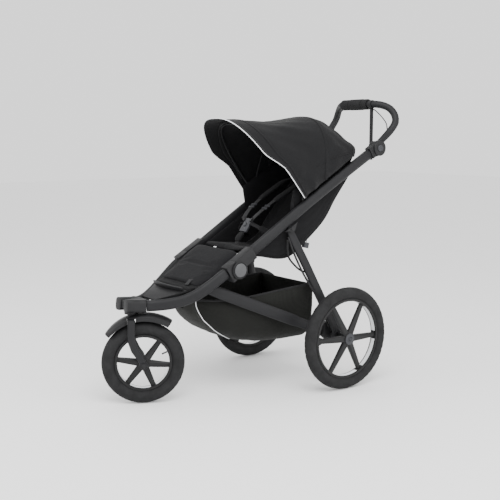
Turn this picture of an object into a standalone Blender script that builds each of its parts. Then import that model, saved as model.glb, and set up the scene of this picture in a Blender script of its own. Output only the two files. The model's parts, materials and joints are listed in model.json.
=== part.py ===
"""A three-wheeled jogging stroller with a folding frame.

The front of the stroller faces -Y, its left side is +X, and it stands on z = 0.
The frame folds about two hinges under its main tubes. The handlebar side swings down and back,
the rear legs pull the rear axle under the hinge, and the rear wheels end beside the front wheel.
"""

import math

import bmesh
import bpy
from mathutils import Matrix, Vector

# Driving dimensions, in metres. Side-view places are (y, z) pairs, with y measured from the rear
# axle and z from the floor, and at() moves them into the frame whose origin is under the middle.
AXLE_Y = 0.2409
GAP = 0.0004
SIDES = (("left", 1.0), ("right", -1.0))

REAR_RADIUS = 0.2025
REAR_TYRE = 0.0235
REAR_TRACK = 0.320
FRONT_RADIUS = 0.155
FRONT_TYRE = 0.0255
STEER_Y = -0.7756
STEER_TRAIL = 0.0425
STEER_YAW = math.radians(-26.5)

TUBE_X = 0.172
TUBE_WIDTH = 0.026
TUBE_HEIGHT = 0.042
TUBE_SLOPE = math.atan(0.606)

HINGE = (-0.418, 0.4945)
LEG_TOP = (-0.164, 0.633)
LEG_TOP_X = 0.168
LEG_FOOT = (0.0, REAR_RADIUS)
LEG_FOOT_X = 0.2705
STAY_FRONT = (-0.525, 0.428)
STAY_FRONT_X = 0.128
STAY_REAR_X = 0.226
HANDLE_PIVOT = (0.290, 0.941)
RECLINE_PIVOT = (-0.112, 0.560)
CANOPY_PIVOT = (-0.095, 0.757)
PEDAL_PIVOT = (-0.010, 0.168)

HINGE_DISC = 0.034
SOCKET_DISC = 0.032
GRIP_CENTRE = (0.337, 1.1245)
GRIP_RADIUS = 0.0225
BAR_RADIUS = 0.0150
SEAT_HALF = 0.150
FABRIC = 0.006

COLOURS = {
    "frame": ((0.045, 0.046, 0.050), 0.38, 0.6),
    "plastic": ((0.020, 0.020, 0.022), 0.55, 0.0),
    "rubber": ((0.026, 0.026, 0.027), 0.80, 0.0),
    "rim": ((0.022, 0.022, 0.024), 0.45, 0.0),
    "steel": ((0.45, 0.45, 0.46), 0.30, 1.0),
    "medallion": ((0.075, 0.076, 0.080), 0.35, 0.3),
    "fabric": ((0.014, 0.014, 0.015), 0.92, 0.0),
    "mesh": ((0.022, 0.023, 0.021), 0.95, 0.0),
    "webbing": ((0.030, 0.030, 0.032), 0.85, 0.0),
    "buckle": ((0.110, 0.112, 0.118), 0.50, 0.0),
    "foam": ((0.030, 0.030, 0.031), 0.90, 0.0),
}


def clear_scene():
    for old in list(bpy.data.objects):
        bpy.data.objects.remove(old, do_unlink=True)


def at(x, y, z):
    """A point given from the rear axle, in the model's own frame."""
    return Vector((x, y + AXLE_Y, z))


def side_point(x, place):
    return at(x, place[0], place[1])


def along_tube(distance, rise=0.0):
    """The (y, z) place a distance up the main tube from the hinge, and a rise square to it."""
    c, s = math.cos(TUBE_SLOPE), math.sin(TUBE_SLOPE)
    return (HINGE[0] + distance * c - rise * s, HINGE[1] + distance * s + rise * c)


TUBE_RISE = 0.017


def material(name):
    """The plain material of that name, made once."""
    found = bpy.data.materials.get(name)
    if found:
        return found
    colour, roughness, metallic = COLOURS[name]
    made = bpy.data.materials.new(name)
    made.use_nodes = True
    shader = made.node_tree.nodes["Principled BSDF"]
    shader.inputs["Base Color"].default_value = (*colour, 1.0)
    shader.inputs["Roughness"].default_value = roughness
    shader.inputs["Metallic"].default_value = metallic
    return made


def finish(name, mesh, finish_name, pivot=None, smooth=True):
    """Links the bmesh as one named object, with its origin at the pivot."""
    bmesh.ops.remove_doubles(mesh, verts=mesh.verts, dist=1e-6)
    bmesh.ops.recalc_face_normals(mesh, faces=mesh.faces)
    if pivot is not None:
        bmesh.ops.translate(mesh, verts=mesh.verts, vec=-pivot)
    data = bpy.data.meshes.new(name)
    mesh.to_mesh(data)
    mesh.free()
    if smooth:
        data.shade_smooth()
        data.set_sharp_from_angle(angle=math.radians(35))
    made = bpy.data.objects.new(name, data)
    bpy.context.scene.collection.objects.link(made)
    made.data.materials.append(material(finish_name))
    if pivot is not None:
        made.location = pivot
    return made


def loft(rings, closed=False):
    """A skin over rings of points. It is capped with flat ends, or joined end to start."""
    mesh = bmesh.new()
    loops = [[mesh.verts.new(p) for p in ring] for ring in rings]
    spans = list(zip(loops, loops[1:]))
    if closed:
        spans.append((loops[-1], loops[0]))
    for one, two in spans:
        for i in range(len(one)):
            j = (i + 1) % len(one)
            mesh.faces.new((one[i], one[j], two[j], two[i]))
    if not closed:
        mesh.faces.new(loops[0][::-1])
        mesh.faces.new(loops[-1])
    bmesh.ops.recalc_face_normals(mesh, faces=mesh.faces)
    return mesh


def rounded(width, height, steps=12, power=2.6):
    """The points of a rounded section, as (across, up) pairs."""
    points = []
    for i in range(steps):
        angle = 2 * math.pi * (i + 0.5) / steps
        c, s = math.cos(angle), math.sin(angle)
        across = math.copysign(abs(c) ** (2 / power), c) * width / 2
        up = math.copysign(abs(s) ** (2 / power), s) * height / 2
        points.append((across, up))
    return points


def smooth_path(points, per_span=4):
    """A Catmull-Rom curve through the points."""
    ends = [2 * points[0] - points[1], *points, 2 * points[-1] - points[-2]]
    path = []
    for a, b, c, d in zip(ends, ends[1:], ends[2:], ends[3:]):
        for i in range(per_span):
            t = i / per_span
            path.append(
                0.5
                * (
                    2 * b
                    + (c - a) * t
                    + (2 * a - 5 * b + 4 * c - d) * t * t
                    + (3 * b - 3 * c + d - a) * t * t * t
                )
            )
    path.append(points[-1].copy())
    return path


def sweep(path, width, height, up=Vector((0, 0, 1)), steps=12, power=2.6, taper=None):
    """A bar of rounded section along a path. up fixes which way its height points."""
    rings = []
    for i, point in enumerate(path):
        before = path[max(i - 1, 0)]
        after = path[min(i + 1, len(path) - 1)]
        along = (after - before).normalized()
        across = along.cross(up).normalized()
        rise = across.cross(along).normalized()
        scale = taper(i / (len(path) - 1)) if taper else 1.0
        ring = []
        for a, b in rounded(width * scale, height * scale, steps, power):
            ring.append(point + across * a + rise * b)
        rings.append(ring)
    return loft(rings)


def turned(profile, centre, steps, closed=False):
    """Turns (x, radius) points about the X axis. A closed profile makes a ring with a bore."""
    rings = []
    for x, radius in profile:
        ring = []
        for i in range(steps):
            angle = 2 * math.pi * i / steps
            ring.append(centre + Vector((x, radius * math.cos(angle), radius * math.sin(angle))))
        rings.append(ring)
    return loft(rings, closed)


def slab(outline, x_low, x_high):
    """A plate: a side-view outline of (y, z) places, from x_low to x_high."""
    return loft([[side_point(x, p) for p in outline] for x in (x_low, x_high)])


def box(low, high):
    """A block between two corners given from the rear axle."""
    outline = [(low[1], low[2]), (high[1], low[2]), (high[1], high[2]), (low[1], high[2])]
    return slab(outline, low[0], high[0])


def disc(place, radius, x_low, x_high, steps=24, edge=0.0):
    """A round plate on an X axis, with a bevelled rim."""
    low, high = min(x_low, x_high), max(x_low, x_high)
    profile = [(low, radius - edge), (high, radius - edge)]
    if edge:
        profile = [
            (low, radius - edge),
            (low + edge, radius),
            (high - edge, radius),
            (high, radius - edge),
        ]
    return turned(profile, side_point(0, place), steps)


def scratch_object(mesh):
    data = bpy.data.meshes.new("scratch")
    mesh.to_mesh(data)
    mesh.free()
    made = bpy.data.objects.new("scratch", data)
    bpy.context.scene.collection.objects.link(made)
    return made


def combine(first, others, operation):
    """The exact union or difference of bmeshes, as a new bmesh."""
    base = scratch_object(first)
    tools = [scratch_object(other) for other in others]
    for tool in tools:
        step = base.modifiers.new("combine", "BOOLEAN")
        step.operation = operation
        step.solver = "EXACT"
        step.object = tool
    graph = bpy.context.evaluated_depsgraph_get()
    result = bmesh.new()
    result.from_mesh(base.evaluated_get(graph).to_mesh())
    for scratch in [base, *tools]:
        data = scratch.data
        bpy.data.objects.remove(scratch, do_unlink=True)
        bpy.data.meshes.remove(data)
    bmesh.ops.remove_doubles(result, verts=result.verts, dist=2e-6)
    bmesh.ops.dissolve_degenerate(result, edges=result.edges, dist=2e-6)
    return result


def union(first, *others):
    return combine(first, others, "UNION")


def cut(first, *others):
    return combine(first, others, "DIFFERENCE")


def mirrored(mesh, side):
    """The mesh as made for the left side, or mirrored to the right."""
    if side < 0:
        bmesh.ops.scale(mesh, vec=(-1, 1, 1), verts=mesh.verts)
        bmesh.ops.reverse_faces(mesh, faces=mesh.faces)
    return mesh


# ---------------------------------------------------------------- wheels


def tyre(radius, section, steps, sides=10):
    """A plain balloon tyre as a closed ring, about the X axis at the origin."""
    middle = radius - section
    rings = []
    for i in range(sides):
        angle = 2 * math.pi * i / sides
        rings.append((section * math.sin(angle), middle + section * math.cos(angle)))
    return turned(rings, Vector(), steps, closed=True)


def spoke(angle, inner, outer, foot_x, wide, narrow):
    """One tapered spoke from the hub to the rim, at an angle about the X axis."""
    out = Vector((0, math.cos(angle), math.sin(angle)))
    aside = Vector((0, -math.sin(angle), math.cos(angle)))
    rings = []
    for reach, shift, width in ((inner, foot_x, wide), (outer, 0.0, narrow)):
        centre = out * reach + Vector((shift, 0, 0))
        depth = width * 0.8
        ring = []
        for a, b in rounded(width, depth, 8, 3.0):
            ring.append(centre + aside * a + Vector((b, 0, 0)))
        rings.append(ring)
    return loft(rings)


def rim(radius, section, hub, bore, spokes, phase, steps):
    """A moulded rim with its spokes and hub in one piece. hub is (x low, x high, radius)."""
    seat = radius - 2 * section - 0.0010
    lip = seat + 0.0042
    well = seat - 0.0055
    half = 0.62 * section
    profile = [
        (-half, well),
        (-half, lip),
        (-half + 0.0025, lip),
        (-half + 0.0030, seat),
        (half - 0.0030, seat),
        (half - 0.0025, lip),
        (half, lip),
        (half, well),
    ]
    barrel = turned(profile, Vector(), steps, closed=True)
    low, high, hub_radius = hub
    neck = hub_radius * 0.72
    core = [
        (low, bore),
        (low, neck),
        (-0.010, neck),
        (-0.006, hub_radius),
        (high - 0.004, hub_radius),
        (high, hub_radius - 0.004),
        (high, bore),
    ]
    middle = turned(core, Vector(), 24, closed=True)
    arms = []
    for i in range(spokes):
        angle = phase + 2 * math.pi * i / spokes
        arms.append(spoke(angle, hub_radius - 0.004, well + 0.002, 0.010, 0.028, 0.0190))
    return union(barrel, middle, *arms)


def place_wheel(mesh, centre, yaw=0.0, side=1.0):
    """Moves a wheel piece from the origin to its axle, turned about the vertical."""
    mirrored(mesh, side)
    bmesh.ops.transform(mesh, matrix=Matrix.Rotation(yaw, 4, "Z"), verts=mesh.verts)
    bmesh.ops.translate(mesh, verts=mesh.verts, vec=centre)
    return mesh


def make_rear_wheels():
    for name, side in SIDES:
        centre = at(side * REAR_TRACK, 0, REAR_RADIUS)
        ring = tyre(REAR_RADIUS, REAR_TYRE, 40)
        finish("rear_tyre_" + name, place_wheel(ring, centre, 0, side), "rubber", centre)
        hub = (-0.0390, 0.026, 0.0230)
        wheel = rim(REAR_RADIUS, REAR_TYRE, hub, 0.0078, 6, math.radians(-2), 40)
        finish("rear_rim_" + name, place_wheel(wheel, centre, 0, side), "rim", centre)
        button = turned([(0.016, 0.0070), (0.0275, 0.0070), (0.0295, 0.0050)], Vector(), 16)
        place_wheel(button, centre, 0, side)
        finish("hub_button_" + name, button, "plastic", centre)


def steered(point):
    """A point of the straight-ahead front fork, turned with the fork about the steering axis."""
    axis = at(0, STEER_Y, 0)
    return Matrix.Rotation(STEER_YAW, 3, "Z") @ (point - axis) + axis


def steer_mesh(mesh):
    for vertex in mesh.verts:
        vertex.co = steered(vertex.co)
    return mesh


FRONT_AXLE = (STEER_Y + STEER_TRAIL, FRONT_RADIUS)


def make_front_wheel():
    centre = steered(side_point(0, FRONT_AXLE))
    ring = tyre(FRONT_RADIUS, FRONT_TYRE, 36)
    finish("front_tyre", place_wheel(ring, centre, STEER_YAW), "rubber", centre)
    hub = (-0.0385, 0.0385, 0.0205)
    wheel = rim(FRONT_RADIUS, FRONT_TYRE, hub, 0.0058, 6, math.radians(-8), 36)
    finish("front_rim", place_wheel(wheel, centre, STEER_YAW), "rim", centre)
    turn = Matrix.Rotation(math.radians(-68), 3, "X")
    inner = FRONT_RADIUS - 2 * FRONT_TYRE - 0.0074
    stem = [centre + Matrix.Rotation(STEER_YAW, 3, "Z") @ (turn @ Vector((0, 0, r)))
            for r in (inner - 0.022, inner - 0.008, inner)]
    valve = sweep(stem, 0.006, 0.006, Vector((1, 0, 0.01)), 8, 2.0)
    finish("front_valve", valve, "plastic", centre)


FENDER_STEPS = 16
FENDER_WALL = 0.0028
FENDER_EDGE = 0.1610


def fender_section(half, top):
    """The fender's section at one place: a crowned top with a skirt down each side of the tyre."""
    inner = half - FENDER_WALL
    outside = [(-half, FENDER_EDGE), (-half, top - 0.009), (-half * 0.62, top), (half * 0.62, top),
               (half, top - 0.009), (half, FENDER_EDGE)]
    inside = [(inner, FENDER_EDGE), (inner, top - 0.010), (inner * 0.62, top - FENDER_WALL),
              (-inner * 0.62, top - FENDER_WALL), (-inner, top - 0.010), (-inner, FENDER_EDGE)]
    return outside + inside


def make_fork():
    """The fork's stem, crown and two trailing legs, its fender and its through axle."""
    axle_y, axle_z = FRONT_AXLE
    pieces = []
    for _, side in SIDES:
        x = side * 0.047
        route = [
            at(x, STEER_Y, 0.3235),
            at(x, STEER_Y - 0.001, 0.290),
            at(x, STEER_Y - 0.001, 0.245),
            at(x, STEER_Y + 0.010, 0.212),
            at(x, axle_y - 0.008, axle_z + 0.020),
            at(x, axle_y, axle_z - 0.002),
        ]
        pieces.append(sweep(route, 0.0140, 0.029, Vector((0, 1, 0)), 10, 3.0, lambda t: 1 - 0.14 * t))
        pieces.append(disc(FRONT_AXLE, 0.0145, x - 0.0066, x + 0.0066, 20, 0.0015))
    crown = sweep(
        [at(x, STEER_Y, 0.3195) for x in (-0.052, -0.02, 0.02, 0.052)],
        0.026, 0.0110, Vector((0, 0, 1)), 10, 3.2,
    )
    stem = cylinder_up((0, STEER_Y), 0.0133, 0.3220, 0.3720, 20)
    body = union(crown, stem, *pieces)
    bore = disc(FRONT_AXLE, 0.0056, -0.08, 0.08, 16)
    fork = cut(body, bore)
    pivot = at(0, STEER_Y, 0.35)
    finish("fork", steer_mesh(fork), "frame", pivot)

    bolt = turned(
        [(-0.0600, 0.0095), (-0.0542, 0.0095), (-0.0542, 0.0050), (0.0542, 0.0050),
         (0.0542, 0.0095), (0.0600, 0.0095)],
        side_point(0, FRONT_AXLE), 16,
    )
    finish("front_axle", steer_mesh(bolt), "plastic", pivot)

    rings = []
    for i in range(FENDER_STEPS + 1):
        t = i / FENDER_STEPS
        angle = math.radians(141 - 86 * t)
        radial = Vector((0, math.cos(angle), math.sin(angle)))
        crown_radius = 0.1780 + 0.0060 * math.sin(0.5 * math.pi * min(1.0, t * 2)) + 0.0060 * t * t
        half = 0.0335 - 0.012 * abs(2 * t - 1) ** 6
        rings.append([side_point(0, FRONT_AXLE) + radial * r + Vector((x, 0, 0))
                      for x, r in fender_section(half, crown_radius)])
    crown_room = box((-0.06, STEER_Y - 0.0160, 0.300), (0.06, STEER_Y + 0.0160, 0.3262))
    stem_room = cylinder_up((0, STEER_Y), 0.0150, 0.31, 0.36, 20)
    finish("front_fender", steer_mesh(cut(loft(rings), crown_room, stem_room)), "plastic", pivot)


def cylinder_up(place, radius, z_low, z_high, steps=20):
    """An upright cylinder at an (x, y) place given from the rear axle."""
    rings = []
    for z in (z_low, z_high):
        ring = []
        for i in range(steps):
            angle = 2 * math.pi * i / steps
            ring.append(at(place[0] + radius * math.cos(angle), place[1] + radius * math.sin(angle), z))
        rings.append(ring)
    return loft(rings)


# ---------------------------------------------------------------- front frame

LOWER_TUBE = [
    (0.172, -0.4668, 0.4847),
    (0.169, -0.492, 0.4688),
    (0.160, -0.530, 0.4420),
    (0.146, -0.572, 0.4140),
    (0.120, -0.620, 0.3905),
    (0.088, -0.665, 0.3780),
    (0.060, -0.703, 0.3728),
    (0.044, -0.734, 0.3720),
]


def make_head():
    """The moulded head that joins the lower tubes and carries the steering barrel."""
    sockets = []
    for _, side in SIDES:
        route = [
            at(side * 0.0436, -0.7348, 0.3720),
            at(side * 0.0356, -0.7503, 0.3722),
            at(side * 0.0320, -0.7750, 0.3745),
            at(side * 0.0300, -0.8120, 0.3780),
        ]
        sockets.append(sweep(route, 0.036, 0.048, Vector((0, 0, 1)), 12, 3.4))
    bridge = box((-0.032, -0.806, 0.364), (0.032, -0.725, 0.393))
    barrel = cylinder_up((0, STEER_Y), 0.0245, 0.3410, 0.386, 24)
    head = cut(union(bridge, barrel, *sockets), cylinder_up((0, STEER_Y), 0.0138, 0.32, 0.3745, 24))
    finish("head_housing", head, "plastic")

    lever = union(
        box((-0.0075, -0.7500, 0.3480), (0.0075, -0.7380, 0.3636)),
        box((-0.0055, -0.7400, 0.3460), (0.0055, -0.7290, 0.3510)),
    )
    finish("swivel_lock", lever, "plastic", at(0, -0.744, 0.356))


def make_lower_tubes():
    for name, side in SIDES:
        points = [at(side * x, y, z) for x, y, z in LOWER_TUBE]
        tube = sweep(smooth_path(points, 3), TUBE_WIDTH, TUBE_HEIGHT)
        finish("lower_tube_" + name, tube, "frame")


def tube_block(start, end, rise_low, rise_high, x_low, x_high):
    """A block along the main tube's direction, from start to end measured from the hinge."""
    outline = [
        along_tube(start, rise_low),
        along_tube(end, rise_low),
        along_tube(end, rise_high),
        along_tube(start, rise_high),
    ]
    return slab(outline, x_low, x_high)


def make_hinges():
    """The two halves of each fold hinge, with the round cap on the outside."""
    low_rise, high_rise = TUBE_RISE - 0.0235, TUBE_RISE + 0.0235
    inner_face, outer_face, split = TUBE_X - 0.020, TUBE_X + 0.020, TUBE_X + 0.001
    for name, side in SIDES:
        lower = union(
            tube_block(-0.0450, -GAP, low_rise, high_rise, inner_face, outer_face),
            disc(HINGE, HINGE_DISC, inner_face, split - GAP, 32),
            tube_block(-0.0440, -0.012, -0.026, low_rise + 0.002, inner_face + 0.002, outer_face - 0.003),
        )
        sweep_room = disc(HINGE, HINGE_DISC + 0.0012, split - GAP, outer_face + 0.02, 32)
        pin = disc(HINGE, 0.0060, split - 0.010, outer_face - 0.002, 16)
        lower = union(cut(lower, sweep_room), pin)
        finish("hinge_base_" + name, mirrored(lower, side), "plastic", side_point(side * TUBE_X, HINGE))

        upper = union(
            tube_block(GAP, 0.0900, low_rise, high_rise, inner_face, outer_face),
            disc(HINGE, HINGE_DISC, split + GAP, outer_face + 0.003, 32),
        )
        inner_room = disc(HINGE, HINGE_DISC + 0.0012, inner_face - 0.02, split + GAP, 32)
        ahead = tube_block(-0.060, GAP, 0.0, 0.06, inner_face - 0.01, split + GAP)
        hole = disc(HINGE, 0.0064, split - 0.01, outer_face + 0.02, 16)
        tube_room = tube_block(0.0896, 0.12, low_rise - 0.01, high_rise + 0.01, 0.1, 0.25)
        upper = cut(upper, inner_room, ahead, hole, tube_room)
        finish("hinge_arm_" + name, mirrored(upper, side), "plastic", side_point(side * TUBE_X, HINGE))

        face = outer_face + 0.003 + GAP
        cap = disc(HINGE, 0.0265, face, face + 0.0045, 28, 0.0015)
        finish("hinge_cap_" + name, mirrored(cap, side), "medallion", side_point(side * TUBE_X, HINGE))


def make_footrest():
    """The moulded footrest between the lower tubes, and the calf panel above it."""
    outline = [
        (-0.640, 0.412), (-0.612, 0.424), (-0.588, 0.432), (-0.580, 0.428),
        (-0.606, 0.4165), (-0.640, 0.400), (-0.700, 0.386), (-0.7005, 0.392),
    ]
    rest = loft([[at(x * scale_at(y), y, z) for y, z in outline] for x in (-1, 1)])
    finish("footrest", rest, "plastic")

    top = [(-0.394, 0.556), (-0.455, 0.520), (-0.520, 0.474), (-0.574, 0.442)]
    rings = []
    for y, z in top:
        half = min(0.140, lower_tube_half(y) - 0.021)
        rings.append([at(-half, y, z), at(half, y, z), at(half, y + 0.005, z - 0.009), at(-half, y + 0.005, z - 0.009)])
    finish("leg_panel", loft(rings), "fabric")


def lower_tube_half(y):
    """The half distance between the lower tubes' middles at that y."""
    for (x1, y1, _), (x2, y2, _) in zip(LOWER_TUBE, LOWER_TUBE[1:]):
        if y1 >= y >= y2:
            return x1 + (x2 - x1) * (y1 - y) / (y1 - y2)
    return LOWER_TUBE[0][0] if y > LOWER_TUBE[0][1] else LOWER_TUBE[-1][0]


def scale_at(y):
    return lower_tube_half(y) - 0.0165


# ---------------------------------------------------------------- upper frame


def make_upper_tubes():
    for name, side in SIDES:
        start, end = 0.0912, 0.7885
        points = []
        for i in range(7):
            t = i / 6
            crown = 0.006 * math.sin(math.pi * t)
            points.append(side_point(side * TUBE_X, along_tube(start + (end - start) * t, TUBE_RISE + crown)))
        tube = sweep(points, TUBE_WIDTH, TUBE_HEIGHT)
        x = side * (TUBE_X - 0.009)
        post = sweep(
            [side_point(x, (CANOPY_PIVOT[0] + 0.004, CANOPY_PIVOT[1] - 0.040)), side_point(x, CANOPY_PIVOT)],
            0.006, 0.016, Vector((0, 1, 0)), 8, 4.0,
        )
        ends = sorted((x - 0.003 * side, x + side * 0.0175))
        pin = disc(CANOPY_PIVOT, 0.0042, ends[0], ends[1], 12)
        finish("upper_tube_" + name, union(tube, post, pin), "frame")


def make_pivot_sockets():
    """The round housings at the upper tubes' ends, which hold the handlebar."""
    start = 0.7900 + GAP
    for name, side in SIDES:
        sleeve = tube_block(start, 0.822, TUBE_RISE - 0.023, TUBE_RISE + 0.023, TUBE_X - 0.015, TUBE_X + 0.015)
        outer = disc(HANDLE_PIVOT, SOCKET_DISC, 0.1765, 0.1960, 32, 0.002)
        neck = slab(neck_outline(), 0.1765, 0.1880)
        room = disc(HANDLE_PIVOT, 0.0300, 0.14, 0.1765, 32)
        recess = disc(HANDLE_PIVOT, 0.0150, 0.1850, 0.21, 24)
        bolt = disc(HANDLE_PIVOT, 0.0060, 0.1520, 0.1800, 16)
        socket = union(cut(union(sleeve, outer, neck), room, recess), bolt)
        finish("pivot_socket_" + name, mirrored(socket, side), "plastic", side_point(side * TUBE_X, HANDLE_PIVOT))
        button = disc(HANDLE_PIVOT, 0.0142, 0.1900, 0.1990, 24, 0.002)
        finish("tilt_button_" + name, mirrored(button, side), "buckle", side_point(side * 0.19, HANDLE_PIVOT))


def neck_outline():
    return [
        along_tube(0.800, TUBE_RISE - 0.022),
        (HANDLE_PIVOT[0] + 0.004, HANDLE_PIVOT[1] - 0.030),
        (HANDLE_PIVOT[0] - 0.010, HANDLE_PIVOT[1] + 0.030),
        along_tube(0.800, TUBE_RISE + 0.022),
    ]


def make_leg_brackets():
    for name, side in SIDES:
        low = along_tube(0.255, TUBE_RISE - TUBE_HEIGHT / 2 - 0.0008)
        high = along_tube(0.325, TUBE_RISE - TUBE_HEIGHT / 2 - 0.0008)
        outline = [low, high, (LEG_TOP[0] + 0.014, LEG_TOP[1] - 0.008), (LEG_TOP[0] + 0.002, LEG_TOP[1] - 0.014),
                   (LEG_TOP[0] - 0.013, LEG_TOP[1] - 0.008)]
        plate = slab(outline, 0.1775, 0.1850)
        pin = disc(LEG_TOP, 0.0050, 0.1590, 0.1800, 16)
        bracket = union(plate, pin)
        finish("leg_bracket_" + name, mirrored(bracket, side), "plastic", side_point(side * LEG_TOP_X, LEG_TOP))


SEAT_SIDE = [
    (-0.372, 0.5440), (-0.285, 0.5310), (-0.212, 0.5170), (-0.155, 0.5200), (-0.100, 0.5520),
    (0.020, 0.6480), (0.085, 0.7380), (0.150, 0.8200), (0.170, 0.8560), (0.150, 0.8640),
    (-0.372, 0.5600),
]


def make_seat():
    """The seat's hammock of fabric, with side walls between the tubes, and its pad."""
    walls = []
    for _, side in SIDES:
        edge = sorted((side * (SEAT_HALF - FABRIC), side * SEAT_HALF))
        walls.append(slab(SEAT_SIDE, edge[0], edge[1]))
    base = [(-0.372, 0.5440), (-0.285, 0.5310), (-0.212, 0.5170), (-0.155, 0.5200), (-0.131, 0.5340),
            (-0.136, 0.5390), (-0.158, 0.5260), (-0.212, 0.5230), (-0.285, 0.5370), (-0.372, 0.5500)]
    pan = slab(base, -SEAT_HALF + 0.001, SEAT_HALF - 0.001)
    finish("seat_shell", union(pan, *walls), "fabric")

    pad = [(-0.378, 0.5520), (-0.285, 0.5390), (-0.212, 0.5250), (-0.172, 0.5270),
           (-0.150, 0.5450), (-0.160, 0.5560), (-0.285, 0.5640), (-0.375, 0.5720)]
    finish("seat_pad", slab(pad, -0.138, 0.138), "fabric")

    c, s = math.cos(math.radians(48.0)), math.sin(math.radians(48.0))

    def up_back(distance, rise):
        return (RECLINE_PIVOT[0] + distance * c - rise * s, RECLINE_PIVOT[1] + distance * s + rise * c)

    back = [up_back(-0.004, -0.006), up_back(0.12, -0.010), up_back(0.365, -0.008), up_back(0.375, 0.004),
            up_back(0.365, 0.016), up_back(0.12, 0.018), up_back(0.004, 0.012)]
    finish("backrest", slab(back, -0.138, 0.138), "fabric", side_point(0, RECLINE_PIVOT))


def make_harness():
    """The buckle, its crotch strap and the two shoulder straps."""
    up = Vector((0, -0.8, 0.6))
    crotch = [at(0, -0.300, 0.5665), at(0, -0.290, 0.590), at(0, -0.2722, 0.6100)]
    finish("crotch_strap", sweep(crotch, 0.024, 0.004, up, 8, 4.0), "webbing")
    middle = at(0, -0.2520, 0.6360)
    outward = Vector((0, -0.815, 0.579))
    case = sweep([at(0, -0.2695, 0.6115), middle, at(0, -0.2345, 0.6605)], 0.046, 0.016, up, 12, 3.4)
    recess = sweep([middle + outward * d for d in (0.0040, 0.0200)], 0.018, 0.018, Vector((1, 0, 0)), 16, 2.0)
    finish("buckle", cut(case, recess), "buckle")
    press = sweep([middle + outward * d for d in (0.0064, 0.0108)], 0.016, 0.016, Vector((1, 0, 0)), 16, 2.0)
    finish("buckle_button", press, "plastic", middle + outward * 0.008)
    for name, side in SIDES:
        route = [
            at(side * 0.0300, -0.2420, 0.6660),
            at(side * 0.042, -0.190, 0.6830),
            at(side * 0.050, -0.110, 0.7000),
            at(side * 0.056, -0.030, 0.7400),
            at(side * 0.056, 0.030, 0.7880),
        ]
        strap = sweep(smooth_path(route, 2), 0.026, 0.004, Vector((0, -0.6, 0.8)), 8, 4.0)
        finish("shoulder_strap_" + name, strap, "webbing")


# ---------------------------------------------------------------- canopy

# Each station is the arch's foot (y, z), its crown (y, z), its half width and its forward bulge.
CANOPY_STATIONS = [
    ((-0.114, 0.752), (-0.352, 1.057), 0.1960, 0.048),
    ((-0.098, 0.760), (-0.300, 1.055), 0.1940, 0.022),
    ((-0.070, 0.777), (-0.190, 1.049), 0.1925, 0.0),
    ((-0.040, 0.795), (-0.080, 1.058), 0.1915, 0.0),
    ((0.000, 0.819), (0.020, 1.069), 0.1905, 0.0),
    ((0.050, 0.849), (0.082, 1.052), 0.1890, 0.0),
    ((0.100, 0.879), (0.145, 1.018), 0.1870, 0.0),
    ((0.150, 0.909), (0.195, 0.985), 0.1850, 0.0),
]


def arch(foot, crown, half, bulge, steps, power=2.7):
    """The points of one arch across the stroller, from its left foot to its right foot."""
    points = []
    for i in range(steps + 1):
        angle = math.pi * i / steps
        c, s = math.cos(angle), math.sin(angle)
        x = half * math.copysign(abs(c) ** (2 / power), c)
        height = s ** (2 / power)
        push = bulge * min(1.0, max(0.0, (height - 0.38) / 0.25))
        y = foot[0] + (crown[0] - foot[0]) * height - push
        z = foot[1] + (crown[1] - foot[1]) * height
        points.append(at(x, y, z))
    return points


def sheet(rows, thickness):
    """A curved sheet through rows of points, thickened towards its inner side."""
    mesh = bmesh.new()
    grid = [[mesh.verts.new(p) for p in row] for row in rows]
    for one, two in zip(grid, grid[1:]):
        for i in range(len(one) - 1):
            mesh.faces.new((one[i], one[i + 1], two[i + 1], two[i]))
    bmesh.ops.recalc_face_normals(mesh, faces=mesh.faces)
    base = scratch_object(mesh)
    shell = base.modifiers.new("thickness", "SOLIDIFY")
    shell.thickness = abs(thickness)
    shell.offset = -1.0 if thickness > 0 else 1.0
    graph = bpy.context.evaluated_depsgraph_get()
    result = bmesh.new()
    result.from_mesh(base.evaluated_get(graph).to_mesh())
    data = base.data
    bpy.data.objects.remove(base, do_unlink=True)
    bpy.data.meshes.remove(data)
    return result


def make_canopy():
    rows = [arch(foot, crown, half, bulge, 14) for foot, crown, half, bulge in CANOPY_STATIONS]
    finish("canopy", sheet(rows, 0.005), "fabric")
    for label, degrees, reach, half in (("front", 128.0, 0.3590, 0.1768), ("middle", 75.0, 0.2980, 0.1716)):
        angle = math.radians(degrees)
        crown = (CANOPY_PIVOT[0] + reach * math.cos(angle), CANOPY_PIVOT[1] + reach * math.sin(angle))
        path = arch(CANOPY_PIVOT, crown, half, 0.0, 16, 3.0)
        facing = Vector((0, -math.sin(angle), math.cos(angle)))
        hoop = sweep(path, 0.0045, 0.0080, facing, 6, 3.0)
        eyes = [disc(CANOPY_PIVOT, 0.0090, *sorted((s * (half - 0.0023), s * (half + 0.0023))), 16) for _, s in SIDES]
        holes = [disc(CANOPY_PIVOT, 0.0046, *sorted((s * (half - 0.01), s * (half + 0.01))), 12) for _, s in SIDES]
        bow = cut(union(hoop, *eyes), *holes)
        finish("canopy_bow_" + label, bow, "plastic", side_point(0, CANOPY_PIVOT))


# ---------------------------------------------------------------- handlebar

HANDLE_SIDE = [
    (0.1630, 0.2900, 0.9410),
    (0.1618, 0.3080, 0.9590),
    (0.1710, 0.3280, 0.9800),
    (0.1860, 0.3450, 1.0050),
    (0.1945, 0.3620, 1.0300),
    (0.1925, 0.3760, 1.0500),
    (0.1840, 0.3820, 1.0720),
    (0.1720, 0.3790, 1.0930),
    (0.1520, 0.3700, 1.1110),
    (0.1250, 0.3540, 1.1215),
    (0.1020, 0.3400, 1.1245),
]


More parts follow.
